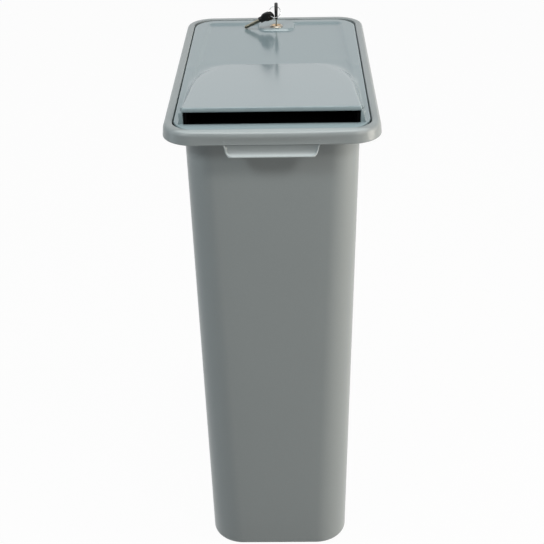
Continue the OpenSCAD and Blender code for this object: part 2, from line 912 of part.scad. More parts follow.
// Cylinder with two flats
module barrel_shape(r, flats, h) {
    intersection() {
        cylinder(r = r, h = h, $fn = smooth);
        translate([-flats/2, -r - over, 0])
            cube([flats, 2*(r + over), h]);
    }
}

module at_lock(z) {
    translate([lock_x, lock_y, bin_h + z])
        children();
}

module lock_housing() {
    thread_pitch = 1.5;
    color(steel)
    difference() {
        union() {
            at_lock(lid_top)
                rotate_extrude($fn = smooth)
                    polygon([[0, 0], [bezel_d/2, 0], [bezel_d/2, bezel_t*0.45],
                        [bezel_d/2 - 1.2, bezel_t - 0.3], [bezel_d/2 - 1.9, bezel_t],
                        [0, bezel_t]]);
            difference() {
                at_lock(barrel_z)
                    barrel_shape(barrel_r, barrel_flats, barrel_l + 0.5);
                // thread, as grooves below the nut's seat
                for (i = [0:3])
                    at_lock(barrel_z + 1.2 + i*thread_pitch)
                        difference() {
                            cylinder(r = barrel_r + over, h = 0.6, $fn = smooth);
                            translate([0, 0, -over])
                                cylinder(r = barrel_r - 0.35, h = 0.6 + 2*over, $fn = smooth);
                        }
            }
        }
        at_lock(barrel_z - over)
            cylinder(r = plug_r + plug_clear, h = 60, $fn = smooth);
        at_lock(plug_top - plug_head_t - 0.1)
            cylinder(r = plug_head_r + plug_clear, h = 10, $fn = smooth);
    }
}

module lock_washer() {
    color(steel)
    at_lock(collar_z - washer_t)
        difference() {
            cylinder(r = nut_flats/2, h = washer_t, $fn = smooth);
            translate([0, 0, -over])
                cylinder(r = barrel_r + 0.15, h = washer_t + 2*over, $fn = smooth);
        }
}

module lock_nut() {
    color(steel)
    at_lock(nut_z)
        difference() {
            intersection() {
                rotate([0, 0, 30])
                    cylinder(r = nut_flats/2/cos(30), h = nut_t, $fn = 6);
                cylinder(r1 = nut_flats/2 + 0.4, r2 = nut_flats/2 + 3, h = nut_t, $fn = smooth);
            }
            translate([0, 0, -over])
                cylinder(r = barrel_r + 0.04, h = nut_t + 2*over, $fn = smooth);
        }
}

function wafer_z(i) = plug_top - plug_head_t - 1.2 - wafer_t - i*wafer_pitch;

module lock_plug() {
    color(brass)
    difference() {
        union() {
            at_lock(plug_foot)
                cylinder(r = plug_r, h = plug_top - plug_foot, $fn = smooth);
            at_lock(plug_top - plug_head_t)
                cylinder(r = plug_head_r, h = plug_head_t, $fn = smooth);
            at_lock(cam_z + 0.1)
                translate([-tail_w/2, -tail_w/2, 0])
                    cube([tail_w, tail_w, plug_foot - cam_z]);
        }
        // keyway
        at_lock(keyway_z)
            translate([-blade_t/2 - key_play, -blade_w/2 - key_play, 0])
                cube([blade_t + 2*key_play, blade_w + 2*key_play, 60]);
        // wafer slots
        for (i = [0:wafer_count - 1])
            at_lock(wafer_z(i) - wafer_play)
                translate([-wafer_w/2 - wafer_play, -plug_r - over, 0])
                    cube([wafer_w + 2*wafer_play, 2*(plug_r + over), wafer_t + 2*wafer_play]);
        at_lock(cam_z - over)
            cylinder(r = 1.3, h = 8, $fn = smooth);
    }
}

module lock_wafers() {
    color(brass)
    for (i = [0:wafer_count - 1])
        at_lock(wafer_z(i))
            difference() {
                translate([-wafer_w/2, -wafer_l/2, 0])
                    cube([wafer_w, wafer_l, wafer_t]);
                translate([-blade_t/2 - 2*key_play, -blade_w/2 - 2*key_play, -over])
                    cube([blade_t + 4*key_play, blade_w + 4*key_play, wafer_t + 2*over]);
            }
}

module cam() {
    color(steel)
    at_lock(cam_z)
        difference() {
            union() {
                cylinder(r = cam_w/2, h = cam_t - 0.02, $fn = smooth);
                translate([0, -cam_w/2 + 1, 0])
                    cube([cam_reach - 3, cam_w - 2, cam_t - 0.02]);
                translate([cam_reach - 3.5, -cam_w/2 + 1 + 3, 0])
                    cube([3.5, cam_w - 8, cam_t - 0.02]);
                for (side = [-1, 1])
                    translate([cam_reach - 3, side*(cam_w/2 - 4), 0])
                        cylinder(r = 3, h = cam_t - 0.02, $fn = smooth);
            }
            translate([-tail_w/2 - cam_play, -tail_w/2 - cam_play, -over])
                cube([tail_w + 2*cam_play, tail_w + 2*cam_play, cam_t + 2*over]);
        }
}

module cam_washer() {
    color(steel)
    at_lock(cam_z - cam_washer_t)
        difference() {
            cylinder(r = cam_washer_r, h = cam_washer_t, $fn = smooth);
            translate([0, 0, -over])
                cylinder(r = 1.5, h = cam_washer_t + 2*over, $fn = smooth);
        }
}

module cam_screw() {
    color(steel)
    difference() {
        union() {
            at_lock(cam_z - cam_washer_t)
                cylinder(r = 1.28, h = 6, $fn = smooth);
            at_lock(cam_z - cam_washer_t - cam_screw_head)
                cylinder(r1 = 2.4, r2 = 3, h = cam_screw_head, $fn = smooth);
        }
        at_lock(cam_z - cam_washer_t - cam_screw_head - over)
            for (turn = [0, 90])
                rotate([0, 0, turn])
                    translate([-2, -0.4, 0])
                        cube([4, 0.8, 1.2 + over]);
    }
}

// ---------- keys ----------

// Blade with its cuts, in the key's own place
module blade_solid() {
    rotate([0, 90, 0])
        translate([0, 0, -blade_t/2])
            linear_extrude(blade_t)
                difference() {
                    union() {
                        translate([-head_z - tang_l, -blade_w/2])
                            square([tang_l + blade_l - 2.5, blade_w]);
                        polygon([[-tip_z - 2.6, -blade_w/2], [-tip_z, -blade_w/2 + 2.4],
                            [-tip_z, blade_w/2 - 2.4], [-tip_z - 2.6, blade_w/2]]);
                    }
                    for (i = [0:len(bits) - 1], edge = [-1, 1])
                        translate([-tip_z - 4.5 - i*2.4, edge*blade_w/2])
                            polygon([[-1.2, edge], [1.2, edge], [0.5, -edge*bits[i]*0.7],
                                [-0.5, -edge*bits[i]*0.7]]);
                }
}

// Moulded head, in the key's own place
module head_solid() {
    neck_w = 13;
    neck_l = 5;
    bow_half = (head_l - neck_l)/2;
    difference() {
        rotate([90, 0, 90])
            translate([0, 0, -head_t/2])
                linear_extrude(head_t) {
                    translate([0, head_z + neck_l + bow_half])
                        rounded_rect(head_w/2, bow_half, 8.4);
                    translate([-neck_w/2, head_z])
                        square([neck_w, neck_l + 4]);
                }
        rotate([0, 90, 0])
            translate([0, 0, -head_t])
                cylinder(r = head_hole_r, h = 2*head_t, $fn = smooth);
        blade_solid();
    }
}

// Where the inserted key stands
module at_key() {
    at_lock(key_z)
        children();
}

// Where the spare key hangs
module at_spare() {
    translate([spare_at[0], spare_at[1], bin_h + spare_at[2]])
        rotate([0, 0, spare_heading])
            rotate([0, spare_tilt, 0])
                rotate([0, 0, spare_roll])
                    children();
}

module key_blade() {
    color(steel) at_key() blade_solid();
}

module key_bow() {
    color(black) at_key() head_solid();
}

module key_ring() {
    color(steel)
    at_key()
        rotate([ring_lean, 0, 0])
            translate([ring_c[0], ring_c[1], 0])
                rotate_extrude($fn = smooth)
                    translate([ring_r, 0])
                        circle(ring_wire_d/2, $fn = 24);
}

module spare_key_blade() {
    color(steel) at_spare() blade_solid();
}

module spare_key_bow() {
    color(black) at_spare() head_solid();
}

bin_body();
hinge_rod();
rod_caps();
strike_plate();
strike_rivets();
lid_shell();
slot_chute();
chute_screws();
lock_housing();
lock_washer();
lock_nut();
lock_plug();
lock_wafers();
cam();
cam_washer();
cam_screw();
key_blade();
key_bow();
key_ring();
spare_key_blade();
spare_key_bow();
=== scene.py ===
"""Looks of a slim secure console bin: tub, hooded lid, chute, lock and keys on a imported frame."""
import math

import bmesh
import bpy
from bpy.props import FloatProperty, FloatVectorProperty, IntProperty, PointerProperty
from mathutils import Matrix, Vector


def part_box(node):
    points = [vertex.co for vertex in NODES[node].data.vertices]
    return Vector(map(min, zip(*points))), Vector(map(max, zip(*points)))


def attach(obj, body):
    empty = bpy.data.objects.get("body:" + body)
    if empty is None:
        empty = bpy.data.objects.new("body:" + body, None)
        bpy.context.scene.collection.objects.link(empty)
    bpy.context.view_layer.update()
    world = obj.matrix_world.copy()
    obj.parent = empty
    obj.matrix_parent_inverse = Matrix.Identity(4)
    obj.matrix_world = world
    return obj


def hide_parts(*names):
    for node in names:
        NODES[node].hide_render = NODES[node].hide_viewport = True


bl_info = {
    "name": "Secure console bin",
    "version": (1, 0, 0),
    "blender": (4, 5, 0),
    "location": "View3D > Sidebar > Console",
    "description": "Dresses the bin's packed frame: tub, lid, chute, lock, keys and studio",
    "category": "Object",
}

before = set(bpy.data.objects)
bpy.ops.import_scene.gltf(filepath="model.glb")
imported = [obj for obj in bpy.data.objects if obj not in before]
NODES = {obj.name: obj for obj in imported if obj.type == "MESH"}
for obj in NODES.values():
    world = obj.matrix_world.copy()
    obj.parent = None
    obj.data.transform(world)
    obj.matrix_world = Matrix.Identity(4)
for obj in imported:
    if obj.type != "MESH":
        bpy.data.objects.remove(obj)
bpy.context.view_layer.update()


# ---------- places that the frame gives, and a few fixed values ----------


TUB_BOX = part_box("bin_body")
LID_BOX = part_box("lid_shell")
BEZEL_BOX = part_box("lock_housing")
ROD_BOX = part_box("hinge_rod")
RIM_TOP = TUB_BOX[1].z
LOCK_X = (BEZEL_BOX[0].x + BEZEL_BOX[1].x) / 2
LOCK_Y = (BEZEL_BOX[0].y + BEZEL_BOX[1].y) / 2
HINGE_Y = (ROD_BOX[0].y + ROD_BOX[1].y) / 2
HINGE_Z = (ROD_BOX[0].z + ROD_BOX[1].z) / 2
# The hinge's two knuckles stand this far to each side of the middle.
HINGE_X = 0.080
KNUCKLE_RADIUS = 0.0032
# Vertices closer together than this become one.
WELD = 2e-6
WHITE = (1.0, 1.0, 1.0, 1.0)


# ---------- sizes and colours that a user would change ----------


def number(name, description, default, **more):
    """A number with its limits, unit or subtype."""
    return FloatProperty(name=name, description=description, default=default, **more)


def length(name, description, default):
    """A length in metres, shown in the scene's own unit."""
    return number(name, description, default, min=0.0, unit="LENGTH", precision=4)


def colour(name, description, default):
    """A linear colour with its picker."""
    return FloatVectorProperty(
        name=name, description=description, default=default, size=3, min=0.0, max=1.0,
        subtype="COLOR",
    )


def share(name, description, default):
    """A plain number from 0 to 1."""
    return number(name, description, default, min=0.0, max=1.0, subtype="FACTOR")


def degrees(name, description, default):
    """An angle, with its default in degrees."""
    return number(name, description, math.radians(default), subtype="ANGLE")


def watts(name, description, default):
    """The power of a lamp in watts."""
    return number(name, description, default, min=0.0, subtype="POWER")


class TubSizes(bpy.types.PropertyGroup):
    """Sizes of the tub, its rolled rim and its pull handles."""

    rim_half_x: length("Rim half width", "Half of the rim's outside width", TUB_BOX[1].x)
    rim_half_y: length("Rim half length", "Half of the rim's outside length", 0.2555)
    rim_radius: length("Rim corner", "Outside corner radius of the rim", 0.042)
    band: length("Rim band", "Width of the rim's top band", 0.0128)
    edge: length("Rim edge", "Height of the rounding of the rim's outer top edge", 0.0075)
    near_slope: length("Near slope", "Fall of the rim's top at the slot end", 0.0011)
    crown: length("Rim crown", "Width of the rounding of the rim's outer top edge", 0.006)
    lip: length("Rim lip", "Rounding of the rim's inner top edge", 0.0013)
    skirt: length("Skirt", "Depth of the rim's outer skirt", 0.018)
    flare: length("Skirt flare", "How far the skirt's foot stands out beyond its top", 0.0009)
    undercut: length("Undercut", "Lean of the skirt over the handles, the other way", 0.0020)
    ledge: length("Ledge", "Depth of the ledge below the rim's top", 0.017)
    wall: length("Wall", "Thickness of the moulding", 0.003)
    overhang: length("Overhang", "Reach of the rim beyond the tub's wall", 0.0265)
    taper: length("Taper", "Narrowing of each wall down to the base", 0.0116)
    radius_top: length("Top corner", "Upright corner radius under the rim", 0.038)
    radius_base: length("Base corner", "Upright corner radius at the base", 0.047)
    base_edge: length("Base edge", "Rounding round the base", 0.007)
    foot: length("Foot", "Depth of the hollow under the base", 0.003)
    foot_width: length("Foot width", "Width of the ring that stands on the floor", 0.014)
    pull_half: length("Handle half width", "Half of a pull handle's width", 0.0595)
    pull_corner: length("Handle corner", "Corner radius of the handle's lip", 0.0095)
    pull_reach: length("Handle reach", "How far the lip stands out from the skirt", 0.010)
    pull_drop: length("Handle drop", "Height of the upright part below the skirt", 0.0030)
    pull_bend: length("Handle bend", "Radius of the bend between upright and lip", 0.004)
    pull_wall: length("Handle wall", "Thickness of the handle's lip and side walls", 0.0017)


class LidSizes(bpy.types.PropertyGroup):
    """Sizes of the sunk lid with its hood, slot and lock tongue."""

    half_x: length("Lid half width", "Half of the lid's width", LID_BOX[1].x)
    half_y: length("Lid half length", "Half of the lid's length", LID_BOX[1].y)
    corner: length("Lid corner", "Corner radius of the lid", 0.0345)
    edge: length("Lid edge", "Rounding of the lid's outer edge", 0.0018)
    drop: length("Lid drop", "Depth of the flange below the rim's top", 0.0008)
    wall: length("Lid wall", "Thickness of the lid", 0.0025)
    sunk: length("Panel depth", "Depth of the sunk panel", 0.003)
    sunk_half: length("Panel half width", "Half width of the panel at its far end", 0.107)
    sunk_step: length("Panel step", "Width of the slope round the sunk panel", 0.006)
    sunk_corner: length("Panel corner", "Corner radius of the sunk panel", 0.010)
    rear_flange: length("Rear flange", "Width of the flange behind the panel", 0.014)
    sill: length("Sill", "Depth of the sill in front of the slot", 0.017)
    hood: length("Hood height", "Height of the hood above the rim's top", 0.021)
    hood_length: length("Hood length", "Length of the hood behind the slot", 0.250)
    hood_top: length("Hood top", "Half width of the hood's top edge at the slot", 0.1148)
    hood_foot: length("Hood foot", "Half width of the hood's foot at the slot", 0.1205)
    crease: length("Crease", "Half width of the straight crease", 0.058)
    slot_foot: length("Slot foot", "Half width of the slot at its foot", 0.1137)
    slot_top: length("Slot top", "Half width of the slot at its top", 0.1139)
    slot_height: length("Slot height", "Height of the slot's top above the rim's top", 0.015)
    tongue_half: length("Tongue half width", "Half width of the lock's tongue", 0.0275)
    tongue_length: length("Tongue length", "From the lock to the tongue's near edge", 0.0145)
    tongue_corner: length("Tongue corner", "Corner radius of the tongue", 0.012)
    skirt_foot: length("Skirt foot", "Depth of the lid's skirt below the rim's top", 0.0167)
    near_fall: length("Near fall", "Fall of the sill towards the rim", 0.0015)


class KeySizes(bpy.types.PropertyGroup):
    """Sizes of the key heads and the split ring."""

    head_width: length("Head width", "Width of a key head", 0.025)
    head_length: length("Head length", "Length of a key head with its neck", 0.024)
    neck: length("Neck", "Length of the neck below a key head", 0.005)
    head_thick: length("Head thickness", "Thickness of a key head in its middle", 0.0054)
    hole: length("Hole", "Radius of the hole in a key head", 0.0033)
    hole_in: length("Hole place", "From the head's end to the hole's middle", 0.0048)
    ring: length("Ring", "Middle radius of the split ring", 0.009)
    wire: length("Wire", "Width of the split ring's two turns together", 0.0016)
    turns: IntProperty(
        name="Turns", description="Turns of the split ring", default=2, min=1, max=3
    )


class FinishColours(bpy.types.PropertyGroup):
    """Colours of the moulded and metal finishes."""

    tub: colour("Tub", "Moulded plastic of the tub", (0.235, 0.258, 0.262))
    lid: colour("Lid", "Moulded plastic of the lid", (0.194, 0.247, 0.264))
    chute: colour("Chute", "Black plastic of the chute", (0.0012, 0.0012, 0.0013))
    head: colour("Key head", "Black plastic of the key heads", (0.004, 0.004, 0.004))
    zinc: colour("Zinc", "Plated steel", (0.62, 0.63, 0.64))
    chrome: colour("Chrome", "Bright plating of the lock", (0.42, 0.38, 0.32))
    brass: colour("Brass", "Brass of the lock's plug", (0.55, 0.36, 0.17))
    nickel: colour("Nickel", "Worn plate of the key blades", (0.30, 0.28, 0.22))
    lid_gloss: share("Lid roughness", "Roughness of the lid's surface", 0.15)
    tub_gloss: share("Tub roughness", "Roughness of the tub's surface", 0.305)


class StudioSettings(bpy.types.PropertyGroup):
    """Camera place and light levels."""

    camera_x: number("Camera X", "Camera place across", 0.0259, unit="LENGTH")
    camera_y: number("Camera Y", "Camera place along", -1.637, unit="LENGTH")
    camera_z: number("Camera Z", "Camera height", 1.249, unit="LENGTH")
    pitch: degrees("Pitch", "Angle of the camera below level", 28.31)
    yaw: degrees("Yaw", "Turn of the camera to the right", -1.19)
    roll: degrees("Roll", "Tilt of the picture", 1.15)
    lens: number("Lens", "Focal length in millimetres", 77.82, min=1.0, unit="CAMERA")
    ambient: number("Ambient", "Strength of the light from all round", 0.05, min=0.0)
    overhead: watts("Overhead", "Power of the overhead box", 16.5)
    side: watts("Side", "Power of the warm side box", 50.0)
    cool: watts("Cool side", "Power of the cool side box", 8.0)
    front: watts("Front", "Power of each front box", 18.0)


# ---------- shader maths ----------


class Field:
    """A value inside a node tree. Arithmetic on fields adds Math nodes."""

    def __init__(self, nodes, socket):
        self.nodes = nodes
        self.socket = socket

    def _maths(self, operation, first, second):
        return self.nodes.node("ShaderNodeMath", {"operation": operation}, {0: first, 1: second})

    def __add__(self, other):
        return self._maths("ADD", self, other)

    __radd__ = __add__

    def __mul__(self, other):
        return self._maths("MULTIPLY", self, other)

    __rmul__ = __mul__

    def __sub__(self, other):
        return self._maths("SUBTRACT", self, other)

    def __rsub__(self, other):
        return self._maths("SUBTRACT", other, self)

    def above(self, edge, soft):
        """0 below the edge and 1 above it, with a soft step."""
        return self.nodes.node(
            "ShaderNodeMapRange",
            {"interpolation_type": "SMOOTHSTEP"},
            {"Value": self, "From Min": edge - soft, "From Max": edge + soft},
        )


class Nodes:
    """A node tree whose nodes are added one call at a time."""

    def __init__(self, tree):
        self.tree = tree
        tree.nodes.clear()

    def put(self, socket, value):
        """Links a field to a socket, or sets the socket's own value."""
        if isinstance(value, Field):
            self.tree.links.new(value.socket, socket)
        else:
            socket.default_value = value

    def node(self, kind, settings=None, inputs=None, out=0):
        """Adds a node: settings first, then the values or links of its sockets.

        Gives the field of one of its outputs, which the tree's own output node hasn't.
        """
        made = self.tree.nodes.new(kind)
        for name, value in (settings or {}).items():
            setattr(made, name, value)
        for name, value in (inputs or {}).items():
            self.put(made.inputs[name], value)
        return Field(self, made.outputs[out]) if made.outputs else None

    def mix_shaders(self, factor, first, second):
        """One shader carried over into another."""
        return self.node("ShaderNodeMixShader", inputs={0: factor, 1: first, 2: second})

    def seen_directly(self):
        """1 for what the camera, a mirror surface or glass sees, else 0."""
        camera, glossy, through = (
            self.node("ShaderNodeLightPath", out=f"Is {ray} Ray")
            for ray in ("Camera", "Glossy", "Transmission")
        )
        return self.node(
            "ShaderNodeMath", {"operation": "MINIMUM"}, {0: camera + glossy + through, 1: 1.0}
        )


class Finish(Nodes):
    """A material round one Principled shader."""

    def __init__(self, name):
        self.material = bpy.data.materials.new(name)
        self.material.use_nodes = True
        super().__init__(self.material.node_tree)
        self.surface = self.node("ShaderNodeBsdfPrincipled")
        self.node("ShaderNodeOutputMaterial", inputs={"Surface": self.surface})

    def place(self, scale=(1.0, 1.0, 1.0), turn=(0.0, 0.0, 0.0)):
        """Object coordinates in metres, stretched and turned."""
        at = self.node("ShaderNodeTexCoord", out="Object")
        return self.node(
            "ShaderNodeMapping", inputs={"Vector": at, "Scale": scale, "Rotation": turn}
        )

    def noise(self, at, scale, detail=2.0, roughness=0.5):
        """Cloudy pattern from 0 to 1; scale is in cycles a metre."""
        return self.node(
            "ShaderNodeTexNoise",
            inputs={"Vector": at, "Scale": scale, "Detail": detail, "Roughness": roughness},
        )

    def coordinate(self, at, axis):
        """One coordinate of a place: X across, Y along or Z up."""
        return self.node("ShaderNodeSeparateXYZ", inputs={"Vector": at}, out=axis)

    def blend(self, below, above, factor):
        """A colour field carried towards a second colour."""
        return self.node(
            "ShaderNodeMix", {"data_type": "RGBA"}, {0: factor, 6: below, 7: (*above, 1.0)}, out=2
        )

    def tint(self, low, high, factor):
        """A colour between two others."""
        return self.blend((*low, 1.0), high, factor)

    def bump(self, height, distance, under=None):
        """A normal raised by a height field; distance is its depth in metres."""
        inputs = {"Height": height, "Distance": distance, "Strength": 1.0}
        if under is not None:
            inputs["Normal"] = under
        return self.node("ShaderNodeBump", inputs=inputs)

    def soft_edges(self, radius):
        """A normal that rounds hard edges by a radius."""
        return self.node("ShaderNodeBevel", {"samples": 4}, {"Radius": radius})

    def set(self, **values):
        """Sets the surface's own sockets by name, with spaces as underscores."""
        sockets = self.surface.socket.node.inputs
        for name, value in values.items():
            self.put(sockets[name.replace("_", " ")], value)
        return self.material


def scaled(rgb, factor):
    """A colour made lighter or darker."""
    return tuple(min(1.0, channel * factor) for channel in rgb)


def moulded_plastic(name, rgb, roughness, grain, ripple, scuff, gleam=0.5, matt_and_painted_light_ahead_of=None,
                    painted_highlight=None):
    """Grey injection moulding: fine grain, flow ripple, rubbed edges and light scuffs.

    Ahead of a place along Y the surface can be made rough and matt, with its colour lightened
    as painted light. The last argument gives ahead of which place along Y, above which
    height and how strongly a pale highlight is painted.
    """
    finish = Finish(name)
    at = finish.place()
    cloud = finish.noise(at, 5.0, detail=3.0)
    speck = finish.noise(at, 420.0)
    streak_at = finish.place(scale=(60.0, 9.0, 14.0), turn=(0.2, 0.1, 0.5))
    streak = finish.noise(streak_at, 14.0, detail=5.0, roughness=0.6)
    scratches = streak.above(0.66, 0.035) * scuff
    point = finish.node("ShaderNodeNewGeometry", out="Pointiness")
    rubbed = point.above(0.53, 0.02) * finish.noise(at, 55.0, detail=3.0).above(0.48, 0.16)
    body = finish.tint(scaled(rgb, 0.95), scaled(rgb, 1.05), cloud * 0.45 + speck * 0.55)
    body = finish.blend(body, scaled(rgb, 1.35), rubbed * 0.35)
    body = finish.blend(body, scaled(rgb, 1.25), scratches * 0.4)
    height = finish.noise(at, 1500.0) * grain + finish.noise(at, 26.0, detail=1.0) * ripple
    gloss = roughness + (cloud - 0.5) * 0.06 + scratches * 0.16 + rubbed * 0.05
    # Ahead of this place the surface is rougher, and its colour is lightened there as painted
    # light.
    if matt_and_painted_light_ahead_of is not None:
        matt = 1.0 - finish.coordinate(at, "Y").above(matt_and_painted_light_ahead_of, 0.001)
        body = finish.blend(body, scaled(rgb, 1.35), matt * 0.8)
        gloss = gloss + matt * 0.35
    # Painted highlight: a pale band ahead of a place along Y and above a height, not wear.
    if painted_highlight is not None:
        ahead = 1.0 - finish.coordinate(at, "Y").above(painted_highlight["ahead_of"], 0.003)
        pale = ahead * finish.coordinate(at, "Z").above(painted_highlight["above"], 0.0016)
        body = finish.blend(body, scaled(rgb, 2.0), pale * (speck * 0.2 + 0.9) * painted_highlight["amount"])
    return finish.set(
        Base_Color=body,
        Roughness=gloss,
        Normal=finish.bump(height, 0.001),
        IOR=1.5,
        Specular_IOR_Level=gleam,
    )


def black_plastic(name, rgb, roughness, gleam):
    """Black moulding with a spark-eroded grain."""
    finish = Finish(name)
    at = finish.place()
    grain = finish.noise(at, 1900.0, detail=3.0, roughness=0.6)
    dust = finish.noise(at, 90.0, detail=5.0, roughness=0.7).above(0.62, 0.1)
    body = finish.tint(rgb, scaled(rgb, 2.2), dust * 0.6 + grain * 0.2)
    return finish.set(
        Base_Color=body,
        Roughness=roughness + grain * 0.15 + dust * 0.1,
        Normal=finish.bump(grain, 0.00006, finish.soft_edges(0.0005)),
        Specular_IOR_Level=gleam,
    )


def plated_metal(name, rgb, roughness, edge, tarnish, brushing=(1.0, 1.0, 1.0)):
    """Plated or turned metal: directional polish, faint tarnish and softened edges."""
    finish = Finish(name)
    at = finish.place()
    along = finish.noise(finish.place(brushing), 900.0, detail=4.0, roughness=0.65)
    patch = finish.noise(at, 260.0, detail=4.0, roughness=0.6)
    stain = patch.above(0.56, 0.12) * tarnish
    body = finish.tint(scaled(rgb, 0.9), scaled(rgb, 1.06), along)
    body = finish.blend(body, scaled(rgb, 0.5), stain)
    return finish.set(
        Base_Color=body,
        Metallic=1.0 - stain * 0.3,
        Roughness=roughness + along * 0.12 + stain * 0.25,
        Normal=finish.bump(along, 0.00002, finish.soft_edges(edge)),
    )


# ---------- mesh tools ----------


def only(kind, geometry):
    """The elements of one kind in an operator's result."""
    return [item for item in geometry if isinstance(item, kind)]


class RingShell:
    """A shell grown ring after ring. Each vertex keeps its place round the ring."""

    def __init__(self, mesh, ring):
        self.mesh = mesh
        self.place = mesh.verts.layers.int.get("place") or mesh.verts.layers.int.new("place")
        self.ring = ring

    @classmethod
    def from_points(cls, points):
        """A new mesh with its first ring on some points."""
        mesh = bmesh.new()
        shell = cls(mesh, [])
        verts = [mesh.verts.new(point) for point in points]
        for index, vert in enumerate(verts):
            vert[shell.place] = index
            shell.ring.append(mesh.edges.new((vert, verts[index - 1])))
        return shell

    def grow(self, points):
        """Extrudes the open ring and sets the new one on its points."""
        made = bmesh.ops.extrude_edge_only(self.mesh, edges=self.ring)["geom"]
        fresh = set(only(bmesh.types.BMVert, made))
        for vert in fresh:
            vert.co = points[vert[self.place]]
        self.ring = [
            edge for edge in only(bmesh.types.BMEdge, made) if all(v in fresh for v in edge.verts)
        ]

    def cap(self):
        """Closes the open ring with one flat face."""
        bmesh.ops.edgeloop_fill(self.mesh, edges=self.ring)


def ring_points(half_x, half_y, radius, height, corner=14, side=9):
    """Points round a rounded rectangle, from the corner at +X +Y."""
    corners = []
    for turn, (sx, sy) in enumerate(((1, 1), (-1, 1), (-1, -1), (1, -1))):
        centre = Vector((sx * (half_x - radius), sy * (half_y - radius), height))
        corners.append([
            centre + radius * Vector((math.cos(angle), math.sin(angle), 0.0))
            for angle in (math.pi / 2 * (turn + step / corner) for step in range(corner + 1))
        ])
    points = []
    for index, arc in enumerate(corners):
        points += arc
        after = corners[(index + 1) % 4][0]
        points += [arc[-1].lerp(after, step / side) for step in range(1, side)]
    return points


def arc_steps(count):
    """Angles from 0 to a quarter turn."""
    return [math.pi / 2 * step / count for step in range(count + 1)]


def edges_of(verts):
    """The edges that meet at some vertices, each once."""
    return list(dict.fromkeys(edge for vert in verts for edge in vert.link_edges))


def soften(mesh, edges, radius, segments=3):
    """Rounds edges over."""
    bmesh.ops.bevel(
        mesh, geom=edges, offset=radius, offset_type="OFFSET", affect="EDGES",
        segments=segments, profile=0.5, material=-1,
    )


def add_block(mesh, low, high, edge, segments=3):
    """Adds a bevelled block between two corners."""
    low, high = Vector(low), Vector(high)
    verts = bmesh.ops.create_cube(mesh, size=1.0)["verts"]
    bmesh.ops.scale(mesh, vec=high - low, verts=verts)
    bmesh.ops.translate(mesh, vec=(low + high) / 2, verts=verts)
    soften(mesh, edges_of(verts), edge, segments)


def add_drum(mesh, centre, direction, radius, depth, edge, segments=48):
    """Adds a drum with rounded rims, from its centre along a direction."""
    turn = Vector(direction).to_track_quat("Z", "Y").to_matrix().to_4x4()
    at = Matrix.Translation(Vector(centre)) @ turn
    verts = bmesh.ops.create_cone(
        mesh, cap_ends=True, segments=segments, radius1=radius, radius2=radius, depth=depth,
        matrix=at,
    )["verts"]
    rims = [rim for rim in edges_of(verts) if any(len(f.verts) > 4 for f in rim.link_faces)]
    soften(mesh, rims, edge)


def finish_piece(name, mesh, body, material, crease=40.0, closed=True):
    """Turns a bmesh into a piece that rides on a body, with smooth faces."""
    bmesh.ops.remove_doubles(mesh, verts=mesh.verts, dist=WELD)
    bmesh.ops.dissolve_degenerate(mesh, dist=WELD / 2, edges=mesh.edges)
    if closed:
        bmesh.ops.recalc_face_normals(mesh, faces=mesh.faces)
    data = bpy.data.meshes.new(name)
    mesh.to_mesh(data)
    mesh.free()
    data.polygons.foreach_set("use_smooth", [True] * len(data.polygons))
    data.set_sharp_from_angle(angle=math.radians(crease))
    data.materials.append(material)
    piece = bpy.data.objects.new(name, data)
    bpy.context.scene.collection.objects.link(piece)
    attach(piece, body)
    return piece


def dress(node, material):
    """Gives a CAD node its finish."""
    data = NODES[node].data
    data.materials.clear()
    data.materials.append(material)


def ramp_between(value, low, high):
    """0 to 1 with soft ends as a value goes from low to high."""
    t = min(1.0, max(0.0, (value - low) / (high - low)))
    return t * t * (3.0 - 2.0 * t)


def soft_min(a, b, width):
    """The lower of two heights, blended over a width."""
    near = max(width - abs(a - b), 0.0) / width
    return min(a, b) - near * near * width / 4.0


def soft_max(a, b, width):
    """The higher of two heights, blended over a width."""
    return -soft_min(-a, -b, width)


def mix(a, b, t):
    """Straight blend of two numbers."""
    return a + (b - a) * t


def inside_corner(dx, dy, radius):
    """Distance inside two edges that meet in a rounded corner."""
    if dx < radius and dy < radius:
        return radius - math.hypot(radius - dx, radius - dy)
    return min(dx, dy)


# ---------- tub ----------


